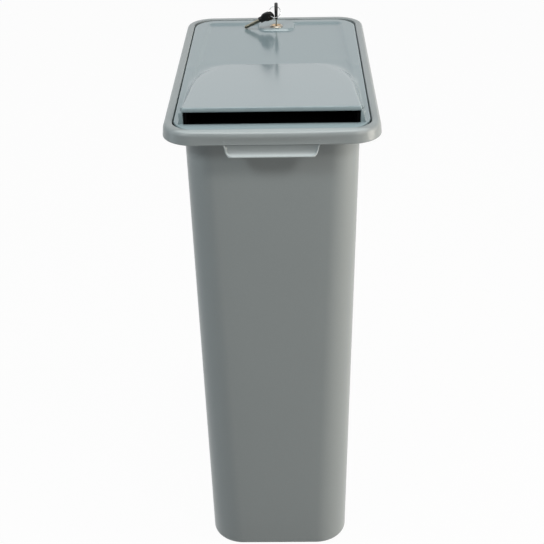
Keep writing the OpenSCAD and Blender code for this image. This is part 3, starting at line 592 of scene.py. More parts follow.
class TubShape:
    """The tub's rings, worked out from its sizes."""

    def __init__(self, tub):
        self.tub = tub
        self.ledge_under = RIM_TOP - tub.ledge - tub.wall

    def wall_ring(self, height, inset):
        """Ring of the tapered wall at a height."""
        tub = self.tub
        share_up = height / self.ledge_under
        narrow = tub.taper * (1.0 - share_up) + inset
        radius = mix(tub.radius_base, tub.radius_top, share_up) - inset
        return ring_points(
            tub.rim_half_x - tub.overhang - narrow, tub.rim_half_y - tub.overhang - narrow,
            radius, height,
        )

    def rim_ring(self, inset, height):
        """Ring of the rim at an inset from its outside."""
        tub = self.tub
        return ring_points(
            tub.rim_half_x - inset, tub.rim_half_y - inset, tub.rim_radius - inset, height
        )

    def outside(self):
        """Rings from under the base up to the ledge."""
        tub = self.tub
        foot_inset = tub.base_edge + tub.foot_width
        yield self.moved(self.wall_ring(0.0, foot_inset + tub.foot / 2), tub.foot)
        yield self.moved(self.wall_ring(0.0, foot_inset), tub.foot * 0.8)
        yield self.moved(self.wall_ring(0.0, foot_inset), tub.foot * 0.2)
        yield self.wall_ring(0.0, foot_inset - tub.foot / 5)
        for angle in arc_steps(7):
            yield self.wall_ring(
                tub.base_edge * (1 - math.cos(angle)), tub.base_edge * (1 - math.sin(angle))
            )
        rows = 12
        fillet = 0.004
        top = self.ledge_under - fillet
        for row in range(1, rows + 1):
            yield self.wall_ring(mix(tub.base_edge, top, row / rows), 0.0)
        for angle in arc_steps(5)[1:]:
            yield self.moved(
                self.wall_ring(top, -fillet * (1 - math.cos(angle))), fillet * math.sin(angle)
            )

    @staticmethod
    def moved(points, lift):
        """The same ring raised by a height."""
        return [point + Vector((0.0, 0.0, lift)) for point in points]

    def skirt_ring(self, low, height):
        """Ring of the rim's outer skirt: flared out to its foot, but undercut over the handles.

        low is 0 at the skirt's top and 1 at its foot.
        """
        tub = self.tub
        points = self.rim_ring(tub.flare * (1.0 - low), height)
        for point in points:
            zone = 1.0 - ramp_between(abs(point.x), tub.pull_half * 0.7, tub.pull_half * 1.6)
            if abs(point.y) > tub.rim_half_y - 0.01:
                drawn = (tub.flare + tub.undercut / 2) * (1.0 - low) - tub.undercut / 2 * low
                point.y += math.copysign(zone * drawn, point.y)
        return points

    def rolled_rim(self):
        """Rings from the ledge's underside over the rolled rim to the ledge's top."""
        tub = self.tub
        band, wall = tub.band, tub.wall
        under = RIM_TOP - wall
        foot = RIM_TOP - tub.skirt
        bead, ease, small_ease = wall / 2, 0.001, 0.0005
        yield self.rim_ring(band - wall + small_ease, self.ledge_under)
        yield self.rim_ring(band - wall, self.ledge_under + small_ease)
        yield self.rim_ring(band - wall, under - ease)
        yield self.rim_ring(band - wall - ease, under)
        yield self.rim_ring(wall + ease, under)
        yield self.rim_ring(wall, under - ease)
        yield self.rim_ring(wall, foot + bead)
        for step in range(1, 6):
            angle = math.pi * step / 6
            yield self.rim_ring(
                bead * (1 + math.cos(angle)), foot + bead * (1 - math.sin(angle))
            )
        yield self.skirt_ring(1.0, foot + bead)
        for low in (0.94, 0.8, 0.5, 0.2):
            yield self.skirt_ring(low, mix(RIM_TOP - tub.edge, foot + bead, low))
        crest = self.rim_ring(tub.crown, 0.0)
        fall_from, crest_y = tub.rim_half_y - tub.rim_radius, tub.rim_half_y - tub.crown
        for angle in arc_steps(9):
            points = self.skirt_ring(0.0, RIM_TOP - tub.edge * (1 - math.sin(angle)))
            fall = tub.near_slope * math.sin(angle)
            yield [
                Vector((
                    *point.xy.lerp(goal.xy, 1 - math.cos(angle)),
                    point.z - fall * ramp_between(-goal.y, fall_from, crest_y),
                ))
                for point, goal in zip(points, crest)
            ]
        inner = band - tub.lip
        for angle in arc_steps(4):
            yield self.rim_ring(
                inner + tub.lip * math.sin(angle), RIM_TOP - tub.lip * (1 - math.cos(angle))
            )
        ledge_top = RIM_TOP - tub.ledge
        fillet, hollow = 0.0015, 0.0004
        yield self.rim_ring(band, ledge_top + fillet)
        yield self.rim_ring(band + hollow, ledge_top + hollow)
        yield self.rim_ring(band + fillet, ledge_top)

    def inside(self):
        """Rings from the ledge's top down to the floor."""
        tub = self.tub
        ledge_top = RIM_TOP - tub.ledge
        edge = 0.0015
        for angle in arc_steps(3):
            yield self.moved(
                self.wall_ring(self.ledge_under, tub.wall - edge * (1 - math.sin(angle))),
                ledge_top - self.ledge_under - edge * (1 - math.cos(angle)),
            )
        rows = 8
        floor = 0.007
        for row in range(1, rows + 1):
            yield self.wall_ring(
                mix(self.ledge_under - edge, floor + tub.base_edge, row / rows), tub.wall
            )
        for angle in arc_steps(5)[1:]:
            yield self.wall_ring(
                floor + tub.base_edge * (1 - math.sin(angle)),
                tub.wall + tub.base_edge * (1 - math.cos(angle)),
            )


class CONSOLE_OT_tub(bpy.types.Operator):
    """Builds the tapered tub with its rolled rim, ledge and foot ring"""

    bl_idname = "console.tub"
    bl_label = "Tub"

    def execute(self, context):
        tub = context.scene.console_tub
        colours = context.scene.console_colours
        shape = TubShape(tub)
        rings = [*shape.outside(), *shape.rolled_rim(), *shape.inside()]
        shell = RingShell.from_points(rings[0])
        shell.cap()
        for points in rings[1:]:
            shell.grow(points)
        shell.cap()
        # The pale band on the rim's top ahead of y -0.244 is a painted highlight.
        material = moulded_plastic(
            "tub_plastic", colours.tub, colours.tub_gloss, grain=0.035, ripple=0.05, scuff=0.5,
            gleam=0.32, painted_highlight={"ahead_of": -0.2440, "above": RIM_TOP - 0.0018, "amount": 0.72},
        )
        piece = finish_piece(
            "tub_shell", shell.mesh, "bin", material, crease=50.0
        )
        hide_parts("bin_body")
        self.rim_ribs(tub, material)
        self.fittings(tub, material)
        return {"FINISHED"}

    @staticmethod
    def rim_ribs(tub, material):
        """Thin ribs hidden inside the rolled rim."""
        mesh = bmesh.new()
        pitch, thick, sunk, clear = 0.076, 0.002, 0.0005, 0.0015
        inner, outer = tub.band - tub.wall + sunk, tub.wall - sunk
        low, high = RIM_TOP - tub.skirt + clear, RIM_TOP - tub.wall + sunk
        for sign in (-1, 1):
            for half, other, along_x in (
                (tub.rim_half_x, tub.rim_half_y, False), (tub.rim_half_y, tub.rim_half_x, True)
            ):
                count = int((other - tub.rim_radius) / pitch)
                near, far = sorted((sign * (half - inner), sign * (half - outer)))
                for index in range(-count, count + 1):
                    start, end = index * pitch - thick / 2, index * pitch + thick / 2
                    first, last = (start, near), (end, far)
                    if not along_x:
                        first, last = first[::-1], last[::-1]
                    add_block(mesh, (*first, low), (*last, high), edge=0.0003, segments=1)
        finish_piece("rim_ribs", mesh, "bin", material, crease=30.0)

    @staticmethod
    def fittings(tub, material):
        """Hinge lugs on the ledge and the pad behind the strike plate."""
        mesh = bmesh.new()
        width, reach, lug_back, sunk = 0.008, 0.0145, 0.0022, 0.001
        ledge = RIM_TOP - tub.ledge - sunk
        for side in (-1, 1):
            for end in (-1, 1):
                x = side * HINGE_X + end * reach
                add_drum(
                    mesh, (x, HINGE_Y, HINGE_Z), (1, 0, 0), KNUCKLE_RADIUS, width, edge=0.0005
                )
                add_block(
                    mesh, (x - width / 2, HINGE_Y - lug_back, ledge),
                    (x + width / 2, HINGE_Y + KNUCKLE_RADIUS, HINGE_Z), edge=0.0005,
                )
        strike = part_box("strike_plate")
        margin, thick, depth = 0.003, 0.0042, 0.062
        pad_low = (strike[0].x - margin, strike[1].y, RIM_TOP - depth)
        pad_high = (strike[1].x + margin, strike[1].y + thick, ledge)
        add_block(mesh, pad_low, pad_high, edge=0.0008)
        finish_piece(
            "hinge_lugs_and_strike_pad", mesh, "bin", material, crease=30.0
        )


class CONSOLE_OT_pull_handles(bpy.types.Operator):
    """Builds the scooped pull handle under each end of the rim"""

    bl_idname = "console.pull_handles"
    bl_label = "Pull handles"

    def execute(self, context):
        tub = context.scene.console_tub
        colours = context.scene.console_colours
        # The pale band on the handle's lip ahead of y -0.2615 is a painted highlight.
        material = moulded_plastic(
            "handle_plastic", colours.tub, colours.tub_gloss, grain=0.035, ripple=0.02,
            scuff=0.8, gleam=0.32, painted_highlight={"ahead_of": -0.2615, "above": 0.0, "amount": 0.75},
        )
        for name, turn in (("pull_handle_slot_end", 0.0), ("pull_handle_lock_end", math.pi)):
            mesh = self.scoop(tub)
            bmesh.ops.rotate(
                mesh, verts=mesh.verts, cent=(0, 0, 0), matrix=Matrix.Rotation(turn, 3, "Z")
            )
            piece = finish_piece(name, mesh, "bin", material, crease=60.0)
            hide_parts("bin_body")
        return {"FINISHED"}

    @staticmethod
    def profile(tub, count):
        """Middle line as (front point, back point) pairs of (out, down), from the top."""
        slope, edge, wall = math.radians(60.0), 0.0008, tub.pull_wall
        away, along = (math.cos(slope), -math.sin(slope)), (math.sin(slope), math.cos(slope))
        root = -0.0010
        upright = (
            (-0.0006, -0.0070), (0.0001, -0.0050), (-0.0003, -0.0025), (-0.0006, 0.0),
            (root, tub.pull_drop),
        )
        line = [((out, down), (out - wall, down)) for out, down in upright]
        for step in range(1, 9):
            turn = slope * step / 8
            out = tub.pull_bend * (1 - math.cos(turn)) + root
            down = tub.pull_drop + tub.pull_bend * math.sin(turn)
            line.append(
                ((out, down), (out - wall * math.cos(turn), down + wall * math.sin(turn)))
            )
        (out, down), _ = line[-1]
        straight = (tub.pull_reach - out) / along[0] - edge
        for step in range(1, count + 1):
            far = straight * step / count
            at = (out + along[0] * far, down + along[1] * far)
            line.append((at, (at[0] - away[0] * wall, at[1] - away[1] * wall)))
        end, under = line[-1]
        for angle in arc_steps(6)[1:]:
            rise, run = edge * (math.cos(angle) - 1), edge * math.sin(angle)
            line.append((
                tuple(end[i] + away[i] * rise + along[i] * run for i in (0, 1)),
                tuple(under[i] + along[i] * run * 0.4 for i in (0, 1)),
            ))
        return line

    @classmethod
    def scoop(cls, tub):
        """One handle: an upright strip that bends out into a lip, with a wall at each end."""
        line = cls.profile(tub, 14)
        columns, rows = 72, len(line) - 1
        foot, corner, wall, fillet = line[-1][0][1], tub.pull_corner, tub.pull_wall, 0.002
        crowding, edge_depth, edge_width = 1.8, 0.0005, 0.0008
        mesh = bmesh.new()
        row_of = mesh.verts.layers.int.new("row")
        bmesh.ops.create_grid(mesh, x_segments=columns, y_segments=rows, size=1.0)
        for vert in mesh.verts:
            across = vert.co.x
            vert[row_of] = round((1.0 - vert.co.y) / 2 * rows)
            out, down = line[vert[row_of]][0]
            into = max(0.0, down - (foot - corner))
            over = min(fillet, max(0.0, fillet - down))
            half = tub.pull_half - corner + math.sqrt(max(corner ** 2 - into ** 2, 0.0))
            half += fillet - math.sqrt(fillet ** 2 - over ** 2)
            x = math.copysign(1.0 - (1.0 - abs(across)) ** crowding, across) * half
            inside = half - abs(x)
            if into > 0:
                beside = max(0.0, abs(x) - (tub.pull_half - corner))
                inside = corner - math.hypot(beside, into)
            gusset = tub.pull_reach * min(1.0, max(0.0, down / foot)) ** 0.9
            stand = 1.0 - ramp_between(inside, wall * 0.8, wall * 1.5)
            reach = mix(out, max(out, gusset), stand)
            reach -= edge_depth * (1.0 - ramp_between(inside, 0.0, edge_width)) * (down > 0)
            vert.co = Vector((x, -tub.rim_half_y - reach, RIM_TOP - tub.skirt - down))
        faces = list(mesh.faces)
        bmesh.ops.recalc_face_normals(mesh, faces=faces)
        if sum(f.normal.y for f in faces) > 0:
            bmesh.ops.reverse_faces(mesh, faces=faces)
        back = bmesh.ops.extrude_face_region(mesh, geom=faces)["geom"]
        for vert in only(bmesh.types.BMVert, back):
            out, down = line[vert[row_of]][1]
            vert.co.y = -tub.rim_half_y - out
            vert.co.z = RIM_TOP - tub.skirt - down
        return mesh


# ---------- lid ----------


class LidShape:
    """Height of the lid's surface and the lines that its mesh follows."""

    def __init__(self, lid):
        self.lid = lid
        self.flange = -lid.drop
        self.panel = self.flange - lid.sunk
        self.panel_end = lid.half_y - lid.rear_flange
        self.slot_y = -lid.half_y + lid.sill
        self.crease_y = self.slot_y + lid.hood_length
        self.slope = (lid.hood - self.panel) / lid.hood_length
        # The panel widens by this much for each metre towards the slot.
        self.panel_spread = 0.0306
        # Where the hood's top edge and its foot start to bend in, and how wide they are there.
        self.edge_bend = -0.120
        self.foot_bend = -0.090
        self.edge_at_bend = lid.hood_top - 0.0035
        self.foot_at_bend = self.panel_half(self.foot_bend) + 0.001
        # Power of the bends' curves, where 2 is an ellipse.
        self.power = 2.2
        # How far in from the outline the grid ends. The skirt rounds the edge from there.
        self.rounded = 0.0006
        # Radius of the edge over the slot.
        self.lintel = 0.0022

    def ramp(self, y):
        """Height of the hood's sloping top."""
        return self.panel + self.slope * (self.crease_y - y)

    def panel_half(self, y):
        """Half width of the sunk panel."""
        return self.lid.sunk_half + self.panel_spread * (self.panel_end - y)

    def _bent_half(self, y, at_slot, at_bend, bend):
        """Half width of a line that runs from the slot and bends in to the crease."""
        if y < bend:
            return mix(at_slot, at_bend, (y - self.slot_y) / (bend - self.slot_y))
        reach = min(1.0, (y - bend) / (self.crease_y - bend))
        inner = self.lid.crease
        return inner + (at_bend - inner) * (1.0 - reach ** self.power) ** (1.0 / self.power)

    def hood_edge(self, y):
        """Half width of the hood's top edge."""
        return self._bent_half(y, self.lid.hood_top, self.edge_at_bend, self.edge_bend)

    def hood_foot(self, y):
        """Half width of the hood's foot."""
        half = self._bent_half(y, self.lid.hood_foot, self.foot_at_bend, self.foot_bend)
        margin = 0.0009
        return min(half, self.outline_half(y, 0.0) - margin)

    def outline_half(self, y, inset):
        """Half width of the lid's own outline at an inset."""
        lid = self.lid
        into = abs(y) - (lid.half_y - lid.corner)
        radius = lid.corner - inset
        if into <= 0:
            return lid.half_x - inset
        return lid.half_x - lid.corner + math.sqrt(max(radius ** 2 - into ** 2, 0.0))

    def _level(self, x, y, bend, at_bend, at_slot):
        """Distance inside a bent line, from its level function and slope."""
        inner = self.lid.crease
        if y < bend:
            half = mix(at_slot, at_bend, (y - self.slot_y) / (bend - self.slot_y)) - inner
        else:
            half = at_bend - inner
        u = max(0.0, (abs(x) - inner) / half)
        reach = self.crease_y - bend
        v = max(0.0, (y - bend) / reach)
        level = 1.0 - u ** self.power - v ** self.power
        across, along = u ** (self.power - 1) / half, v ** (self.power - 1) / reach
        pull = self.power * math.hypot(across, along)
        least_pull = self.power * 0.35 / half
        return level / max(pull, least_pull)

    def _outline_inside(self, x, y):
        """Distance inside the lid's outline."""
        lid = self.lid
        dx = abs(x) - (lid.half_x - lid.corner)
        dy = abs(y) - (lid.half_y - lid.corner)
        if dx > 0 and dy > 0:
            return lid.corner - math.hypot(dx, dy)
        return lid.corner - max(dx, dy)

    def floor(self, x, y):
        """Height of the flange, its rounded edge, the sunk panel and the tongue."""
        lid = self.lid
        z = self.flange
        inside = self._outline_inside(x, y)
        if inside < lid.edge:
            rise = lid.edge - max(inside, 0.0)
            z -= lid.edge - math.sqrt(max(lid.edge ** 2 - rise ** 2, 0.0))
        soft = 0.0008
        depth = inside_corner(
            self.panel_half(y) - abs(x), self.panel_end - y, lid.sunk_corner
        )
        sink = ramp_between(depth, -soft, lid.sunk_step + soft)
        tongue_low, tongue_high = -0.0026, 0.0006
        stand = inside_corner(
            lid.tongue_half - abs(x - LOCK_X), y - (LOCK_Y - lid.tongue_length),
            lid.tongue_corner,
        )
        sink *= 1.0 - ramp_between(stand, tongue_low, tongue_high)
        panel_start, panel_full = self.foot_bend - 0.020, self.foot_bend - 0.008
        sink *= ramp_between(y, panel_start, panel_full)
        return z - lid.sunk * sink

    def height(self, x, y):
        """Height of the lid's outer surface from the rim's top."""
        floor = self.floor(x, y)
        if y < self.slot_y + 1e-5 or y > self.crease_y + 0.02:
            return floor
        lid = self.lid
        to_edge = self._level(x, y, self.edge_bend, self.edge_at_bend, lid.hood_top)
        to_foot = self._level(x, y, self.foot_bend, self.foot_at_bend, lid.hood_foot)
        least_gap, sharp, softer, shoulder, past_crease = 0.0008, 0.0009, 0.002, 0.006, 0.03
        gap = max(to_foot - to_edge, least_gap)
        ramp = soft_max(self.panel, self.ramp(y), sharp)
        side = floor + (ramp - floor) * to_foot / gap
        hood = soft_min(ramp, side, shoulder)
        width = sharp + softer * ramp_between(abs(x), lid.crease, lid.crease + past_crease)
        if hood <= floor - width:
            return floor
        return max(floor, soft_max(floor, hood, width))


class LidMesh:
    """Grid over the lid whose columns follow the hood's edges and the panel's sides."""

    def __init__(self, shape):
        self.shape = shape
        # From here on the outer columns leave the hood's edges for the panel's sides.
        self.join = -0.060
        # From here on they draw in round the far corners. Columns nearer the middle stay.
        self.far_part = 0.150
        self.fixed = 0.050
        # Share of the way from the inner line to the edge line where the slot ends.
        self.slot_share = 2 / 7
        zones = [
            (0.0, 0), (0.014, 3), (0.031, 15), (self.fixed, 5), ("inner", 24), ("edge", 7),
            ("foot", 10), ("apron", 2), ("outline", 4),
        ]
        self.columns = []
        for (start, _), (end, count) in zip(zones, zones[1:]):
            self.columns += [(start, end, step / count) for step in range(count)]
        self.columns.append(("outline", "outline", 0.0))
        self.rows = self.row_list()

    def line(self, key, y):
        """Half width of one of the lines that the columns follow."""
        shape, join = self.shape, self.join
        if key == "outline":
            return shape.outline_half(y, shape.rounded)
        if not isinstance(key, str):
            return key
        if y < join:
            edge, foot = shape.hood_edge(y), shape.hood_foot(y)
        else:
            blend = ramp_between(y, join, join + 0.04)
            foot = mix(shape.hood_foot(join), shape.panel_half(y), blend)
            edge = mix(shape.hood_edge(join), shape.panel_half(y) - shape.lid.sunk_step, blend)
            margin = 0.0016
            limit = self.line("outline", y) - margin
            foot = min(foot, limit)
            edge = min(edge, limit - shape.lid.sunk_step)
        outline = self.line("outline", y)
        return {
            "inner": edge - 0.005, "edge": edge, "foot": foot,
            "apron": mix(foot, outline, 0.35),
        }[key]

    def across(self, column, y):
        """Distance of a column from the middle."""
        start, end, t = self.columns[column]
        return mix(self.line(start, y), self.line(end, y), t)

    def row_list(self):
        """Rows as (kind, y, fraction), from the near edge to the far one."""
        shape, lid = self.shape, self.shape.lid
        corner_y = lid.half_y - lid.corner
        radius = lid.corner - shape.rounded
        first = math.asin((-shape.slot_y - corner_y) / radius)
        rows = [("flat", -corner_y - radius * math.sin(mix(math.pi / 2, first, s / 9)), 0.0)
                for s in range(10)]
        for fraction in (0.25, 0.5, 0.75, 1.0):
            rows.append(("jamb", shape.slot_y, fraction))
        for fraction in (0.2, 0.45, 0.7, 0.9, 1.0):
            rows.append(("lintel", shape.slot_y, fraction))
        past_crease, near_tongue = 0.040, 0.178
        after = [-0.2185, -0.2155, -0.2125, -0.2090, -corner_y]
        for low, high, count in (
            (-corner_y, self.join, 40), (self.join, past_crease, 64),
            (past_crease, near_tongue, 22), (near_tongue, corner_y, 23),
        ):
            after += [mix(low, high, step / count) for step in range(1, count + 1)]
        rows += [("flat", y, 0.0) for y in after]
        rows += [("flat", corner_y + radius * math.sin(math.pi / 2 * s / 22), 0.0)
                 for s in range(1, 23)]
        return rows

    def slot_column(self):
        """Index of the column at the slot's end."""
        return next(i for i, (start, _, t) in enumerate(self.columns)
                    if start == "inner" and t >= self.slot_share - 1e-9)

    def slot_row_x(self, column, half):
        """Place of a column along a row where the slot has a given half width."""
        y = self.shape.slot_y
        slot = self.slot_column()
        if column <= slot:
            return self.across(column, y) * half / self.across(slot, y)
        foot = next(i for i, c in enumerate(self.columns) if c[0] == "foot")
        if column >= foot:
            return self.across(column, y)
        return mix(half, self.across(foot, y), (column - slot) / (foot - slot))

    def point(self, column, row):
        """Place of a grid point; columns count out from the middle."""
        shape, lid = self.shape, self.shape.lid
        kind, y, fraction = self.rows[row]
        top_y = shape.slot_y + shape.lintel
        if kind == "flat":
            if y <= shape.slot_y + 1e-9:
                scale = self.line("outline", y) / self.line("outline", shape.slot_y)
                x = self.slot_row_x(column, lid.slot_foot) * scale
            else:
                x = self.across(column, y)
                if y > self.far_part:
                    x = self.narrowed(column, y)
            return x, y, None
        x_top = self.slot_row_x(column, lid.slot_top)
        z_top = shape.height(x_top, top_y)
        x_foot = self.slot_row_x(column, lid.slot_foot)
        z_foot = shape.floor(x_foot, shape.slot_y)
        knee_z = min(lid.slot_height, mix(z_foot, z_top, 0.8))
        if kind == "jamb":
            return mix(x_foot, x_top, fraction), y, mix(z_foot, knee_z, fraction)
        radius = min(shape.lintel, max(z_top - knee_z, 0.0) * 0.55)
        straight = 0.45
        if fraction <= straight:
            z = mix(knee_z, z_top - radius, fraction / straight)
            return x_top, y, z
        angle = math.pi / 2 * (fraction - straight) / (1 - straight)
        return (
            x_top,
            shape.slot_y + shape.lintel * (1 - math.cos(angle)),
            z_top - radius * (1 - math.sin(angle)),
        )

    def narrowed(self, column, y):
        """Column place near the far corners, where only the outer columns draw in."""
        fixed, blend_end = self.fixed, 0.205
        x = self.across(column, self.far_part)
        if x <= fixed:
            return x
        widest = self.line("outline", self.far_part)
        target = self.line("outline", y)
        drawn = fixed + (x - fixed) * (target - fixed) / (widest - fixed)
        natural = self.across(column, y)
        return mix(natural, drawn, ramp_between(y, self.far_part, blend_end))

    def build(self):
        """The grid as an open mesh, with the slot cut and the skirt grown."""
        half = len(self.columns) - 1
        last = len(self.rows) - 1
        mesh = bmesh.new()
        mesh.verts.layers.int.new("place")
        bmesh.ops.create_grid(mesh, x_segments=2 * half, y_segments=last, size=1.0)
        grid = {}
        for vert in mesh.verts:
            column = round((vert.co.x + 1.0) / 2.0 * 2 * half) - half
            row = round((vert.co.y + 1.0) / 2.0 * last)
            grid[vert] = (column, row)
        cache = {}
        for vert, (column, row) in grid.items():
            key = (abs(column), row)
            if key not in cache:
                cache[key] = self.point(*key)
            x, y, z = cache[key]
            x = math.copysign(x, column) if column else 0.0
            # The middle columns move over to the lock, which stands beside the lid's middle.
            near_lock = ramp_between(y, 0.120, 0.170)
            near_middle = 1.0 - ramp_between(abs(x), 0.034, 0.090)
            x += LOCK_X * near_lock * near_middle
            if z is None:
                z = self.shape.height(x, y)
            vert.co = Vector((x, y, RIM_TOP + z))
        self.cut_slot(mesh, grid)
        self.grow_skirt(mesh, grid, half, last)
        lid = self.shape.lid
        for vert in mesh.verts:
            vert.co.z -= lid.near_fall * ramp_between(-vert.co.y, -self.shape.slot_y, lid.half_y)
        return mesh

    def cut_slot(self, mesh, grid):
        """Takes out the faces in the slot."""
        slot = self.slot_column()
        jamb = [i for i, row in enumerate(self.rows) if row[0] == "jamb"]
        low, high = jamb[0] - 1, jamb[-1]
        gone = [
            face for face in mesh.faces
            if all(abs(grid[v][0]) <= slot and low <= grid[v][1] <= high for v in face.verts)
        ]
        if not gone:
            raise RuntimeError("the slot's faces weren't found")
        bmesh.ops.delete(mesh, geom=gone, context="FACES")

    def grow_skirt(self, mesh, grid, half, last):
        """Rounds the lid's edge over and carries it down as a skirt."""
        lid, shape = self.shape.lid, self.shape
        outer = [v for v in mesh.verts
                 if abs(grid[v][0]) == half or grid[v][1] in (0, last)]
        shell = RingShell(mesh, [])
        anchors = []
        on_edge = set(outer)
        for index, vert in enumerate(outer):
            vert[shell.place] = index
            anchors.append(self.outward(vert.co))
        shell.ring = [
            edge for edge in mesh.edges
            if edge.is_boundary and all(v in on_edge for v in edge.verts)
        ]
        start = math.asin(1.0 - shape.rounded / lid.edge)
        for step in (1, 2, 3):
            angle = mix(start, math.pi / 2, step / 3)
            out = lid.edge * math.sin(angle)
            z = shape.flange - lid.edge * (1 - math.cos(angle))
            shell.grow([base + normal * out + Vector((0, 0, RIM_TOP + z))
                        for base, normal in anchors])
        for depth in (0.35, 0.7, 1.0):
            shell.grow([
                base + normal * lid.edge
                + Vector((0, 0, RIM_TOP + mix(shape.flange - lid.edge, self.foot(base), depth)))
                for base, normal in anchors
            ])

    def foot(self, base):
        """Depth of the skirt's foot, cut short ahead of the hinge line."""
        near_foot, near_end, full_from = -0.0042, -0.229, -0.222
        far = ramp_between(base.y, near_end, full_from)
        return mix(near_foot, -self.shape.lid.skirt_foot, far)

    def outward(self, point):
        """Centre line of the edge's rounding and the direction out from it."""
        lid = self.shape.lid
        cx, cy = lid.half_x - lid.corner, lid.half_y - lid.corner
        x, y = point.x, point.y
        if abs(x) > cx - 1e-7 and abs(y) > cy - 1e-7:
            centre = Vector((math.copysign(cx, x), math.copysign(cy, y), 0))
            normal = (Vector((x, y, 0)) - centre).normalized()
            return centre + normal * (lid.corner - lid.edge), normal
        if abs(y) <= cy:
            normal = Vector((math.copysign(1.0, x), 0, 0))
            return Vector((math.copysign(lid.half_x - lid.edge, x), y, 0)), normal
        normal = Vector((0, math.copysign(1.0, y), 0))
        return Vector((x, math.copysign(lid.half_y - lid.edge, y), 0)), normal


class CONSOLE_OT_lid(bpy.types.Operator):
    """Builds the sunk lid with its hood, slot, crease and lock tongue"""

    bl_idname = "console.lid"
    bl_label = "Lid"

    def execute(self, context):
        lid = context.scene.console_lid
        colours = context.scene.console_colours
        shape = LidShape(lid)
        mesh = LidMesh(shape).build()
        bmesh.ops.remove_doubles(mesh, verts=mesh.verts, dist=WELD)
        faces = list(mesh.faces)
        bmesh.ops.recalc_face_normals(mesh, faces=faces)
        if sum(f.normal.z * f.calc_area() for f in faces) < 0:
            bmesh.ops.reverse_faces(mesh, faces=faces)
        # The sill ahead of the slot is rougher, and lighter in colour as painted light.
        material = moulded_plastic(
            "lid_plastic", colours.lid, colours.lid_gloss, grain=0.004, ripple=0.03,
            scuff=0.35, matt_and_painted_light_ahead_of=shape.slot_y,
        )
        piece = finish_piece(
            "lid_skin", mesh, "lid", material, crease=48.0, closed=False
        )
        wall = piece.modifiers.new("wall", "SOLIDIFY")
        wall.thickness = lid.wall
        wall.offset = -1.0
        wall.use_even_offset = False
        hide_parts("lid_shell")
        self.underparts(lid, shape, material)
        return {"FINISHED"}

    @staticmethod
    def underparts(lid, shape, material):
        """Knuckles, screw posts, lock collar and ribs under the lid."""
        mesh = bmesh.new()
        under = RIM_TOP + shape.flange - lid.wall
        width, sunk = 0.020, 0.0005
        for side in (-1, 1):
            x = side * HINGE_X
            add_drum(mesh, (x, HINGE_Y, HINGE_Z), (1, 0, 0), KNUCKLE_RADIUS, width, edge=0.0004)
            add_block(
                mesh, (x - width / 2, HINGE_Y - KNUCKLE_RADIUS, HINGE_Z),
                (x + width / 2, HINGE_Y + KNUCKLE_RADIUS, under + 0.0006), edge=0.0004,
            )
        screws, screw_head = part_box("chute_screws"), 0.0034
        post_foot, post_radius = screws[1].z - 0.006, 0.004
        for side in (-1, 1):
            for y in (screws[0].y + screw_head, screws[1].y - screw_head):
                x = side * (screws[1].x - screw_head)
                top = RIM_TOP + shape.height(x, y) - 0.0012
                add_drum(
                    mesh, (x, y, (post_foot + top) / 2), (0, 0, 1), post_radius,
                    top - post_foot, edge=0.0004,
                )
        collar_low, collar_radius = RIM_TOP + shape.panel - lid.wall, 0.014
        add_drum(
            mesh, (LOCK_X, LOCK_Y, (collar_low + under + sunk) / 2), (0, 0, 1),
            collar_radius, under + sunk - collar_low, edge=0.0004, segments=64,
        )
        foot = RIM_TOP - lid.skirt_foot + 0.005
        top = RIM_TOP + shape.panel - lid.wall + sunk
        near = shape.crease_y + 0.006
        rib_x, rib_length, thick = 0.062, 0.140, 0.002
        for x in (-rib_x, rib_x):
            add_block(
                mesh, (x - thick / 2, near, foot), (x + thick / 2, near + rib_length, top),
                edge=0.0003,
            )
        for y in (near, near + rib_length / 2):
            add_block(mesh, (-rib_x, y, foot), (rib_x, y + thick, top), edge=0.0003)
        finish_piece("lid_underparts", mesh, "lid", material, crease=30.0)


# ---------- chute, lock and hardware ----------


class CONSOLE_OT_chute(bpy.types.Operator):
    """Gives the black chute behind the slot its finish"""

    bl_idname = "console.chute"
    bl_label = "Slot chute"

    def execute(self, context):
        colours = context.scene.console_colours
        black = black_plastic("chute_plastic", colours.chute, roughness=0.7, gleam=0.04)
        dress("slot_chute", black)
        return {"FINISHED"}


class CONSOLE_OT_hardware(bpy.types.Operator):
    """Gives the hinge, strike, cam, nut, washers and screws their plated finish"""

    bl_idname = "console.hardware"
    bl_label = "Hinge and strike hardware"

    def execute(self, context):
        zinc = context.scene.console_colours.zinc
        along_x = plated_metal(
            "zinc_rod", zinc, roughness=0.24, edge=0.0002, tarnish=0.15, brushing=(0.05, 1, 1)
        )
        upright = plated_metal(
            "zinc_plate", zinc, roughness=0.28, edge=0.0004, tarnish=0.25, brushing=(1, 1, 0.08)
        )
        flat = plated_metal(
            "zinc_cam", zinc, roughness=0.26, edge=0.0003, tarnish=0.2, brushing=(1, 0.1, 1)
        )
        for node in ("hinge_rod", "rod_caps"):
            dress(node, along_x)
        for node in ("strike_plate", "strike_rivets", "chute_screws"):
            dress(node, upright)
        for node in ("cam", "cam_washer", "cam_screw", "lock_washer", "lock_nut"):
            dress(node, flat)
        return {"FINISHED"}


class CONSOLE_OT_lock(bpy.types.Operator):
    """Gives the lock's bright housing and brass plug their finishes"""

    bl_idname = "console.lock"
    bl_label = "Cam lock"

    def execute(self, context):
        colours = context.scene.console_colours
        chrome = plated_metal(
            "lock_chrome", colours.chrome, roughness=0.24, edge=0.0004, tarnish=0.2
        )
        brass = plated_metal(
            "lock_brass", colours.brass, roughness=0.2, edge=0.0003, tarnish=0.45
        )
        dress("lock_housing", chrome)
        dress("lock_plug", brass)
        dress("lock_wafers", brass)
        return {"FINISHED"}


# ---------- keys and ring ----------


# The holes of both keys, measured up from the rim's top.
KEY_RISE = 0.0315
KEY_PLACE = Matrix.Translation((LOCK_X, LOCK_Y, RIM_TOP + KEY_RISE))
SPARE_X, SPARE_Y, SPARE_RISE = -0.006851, 0.197455, 0.01919
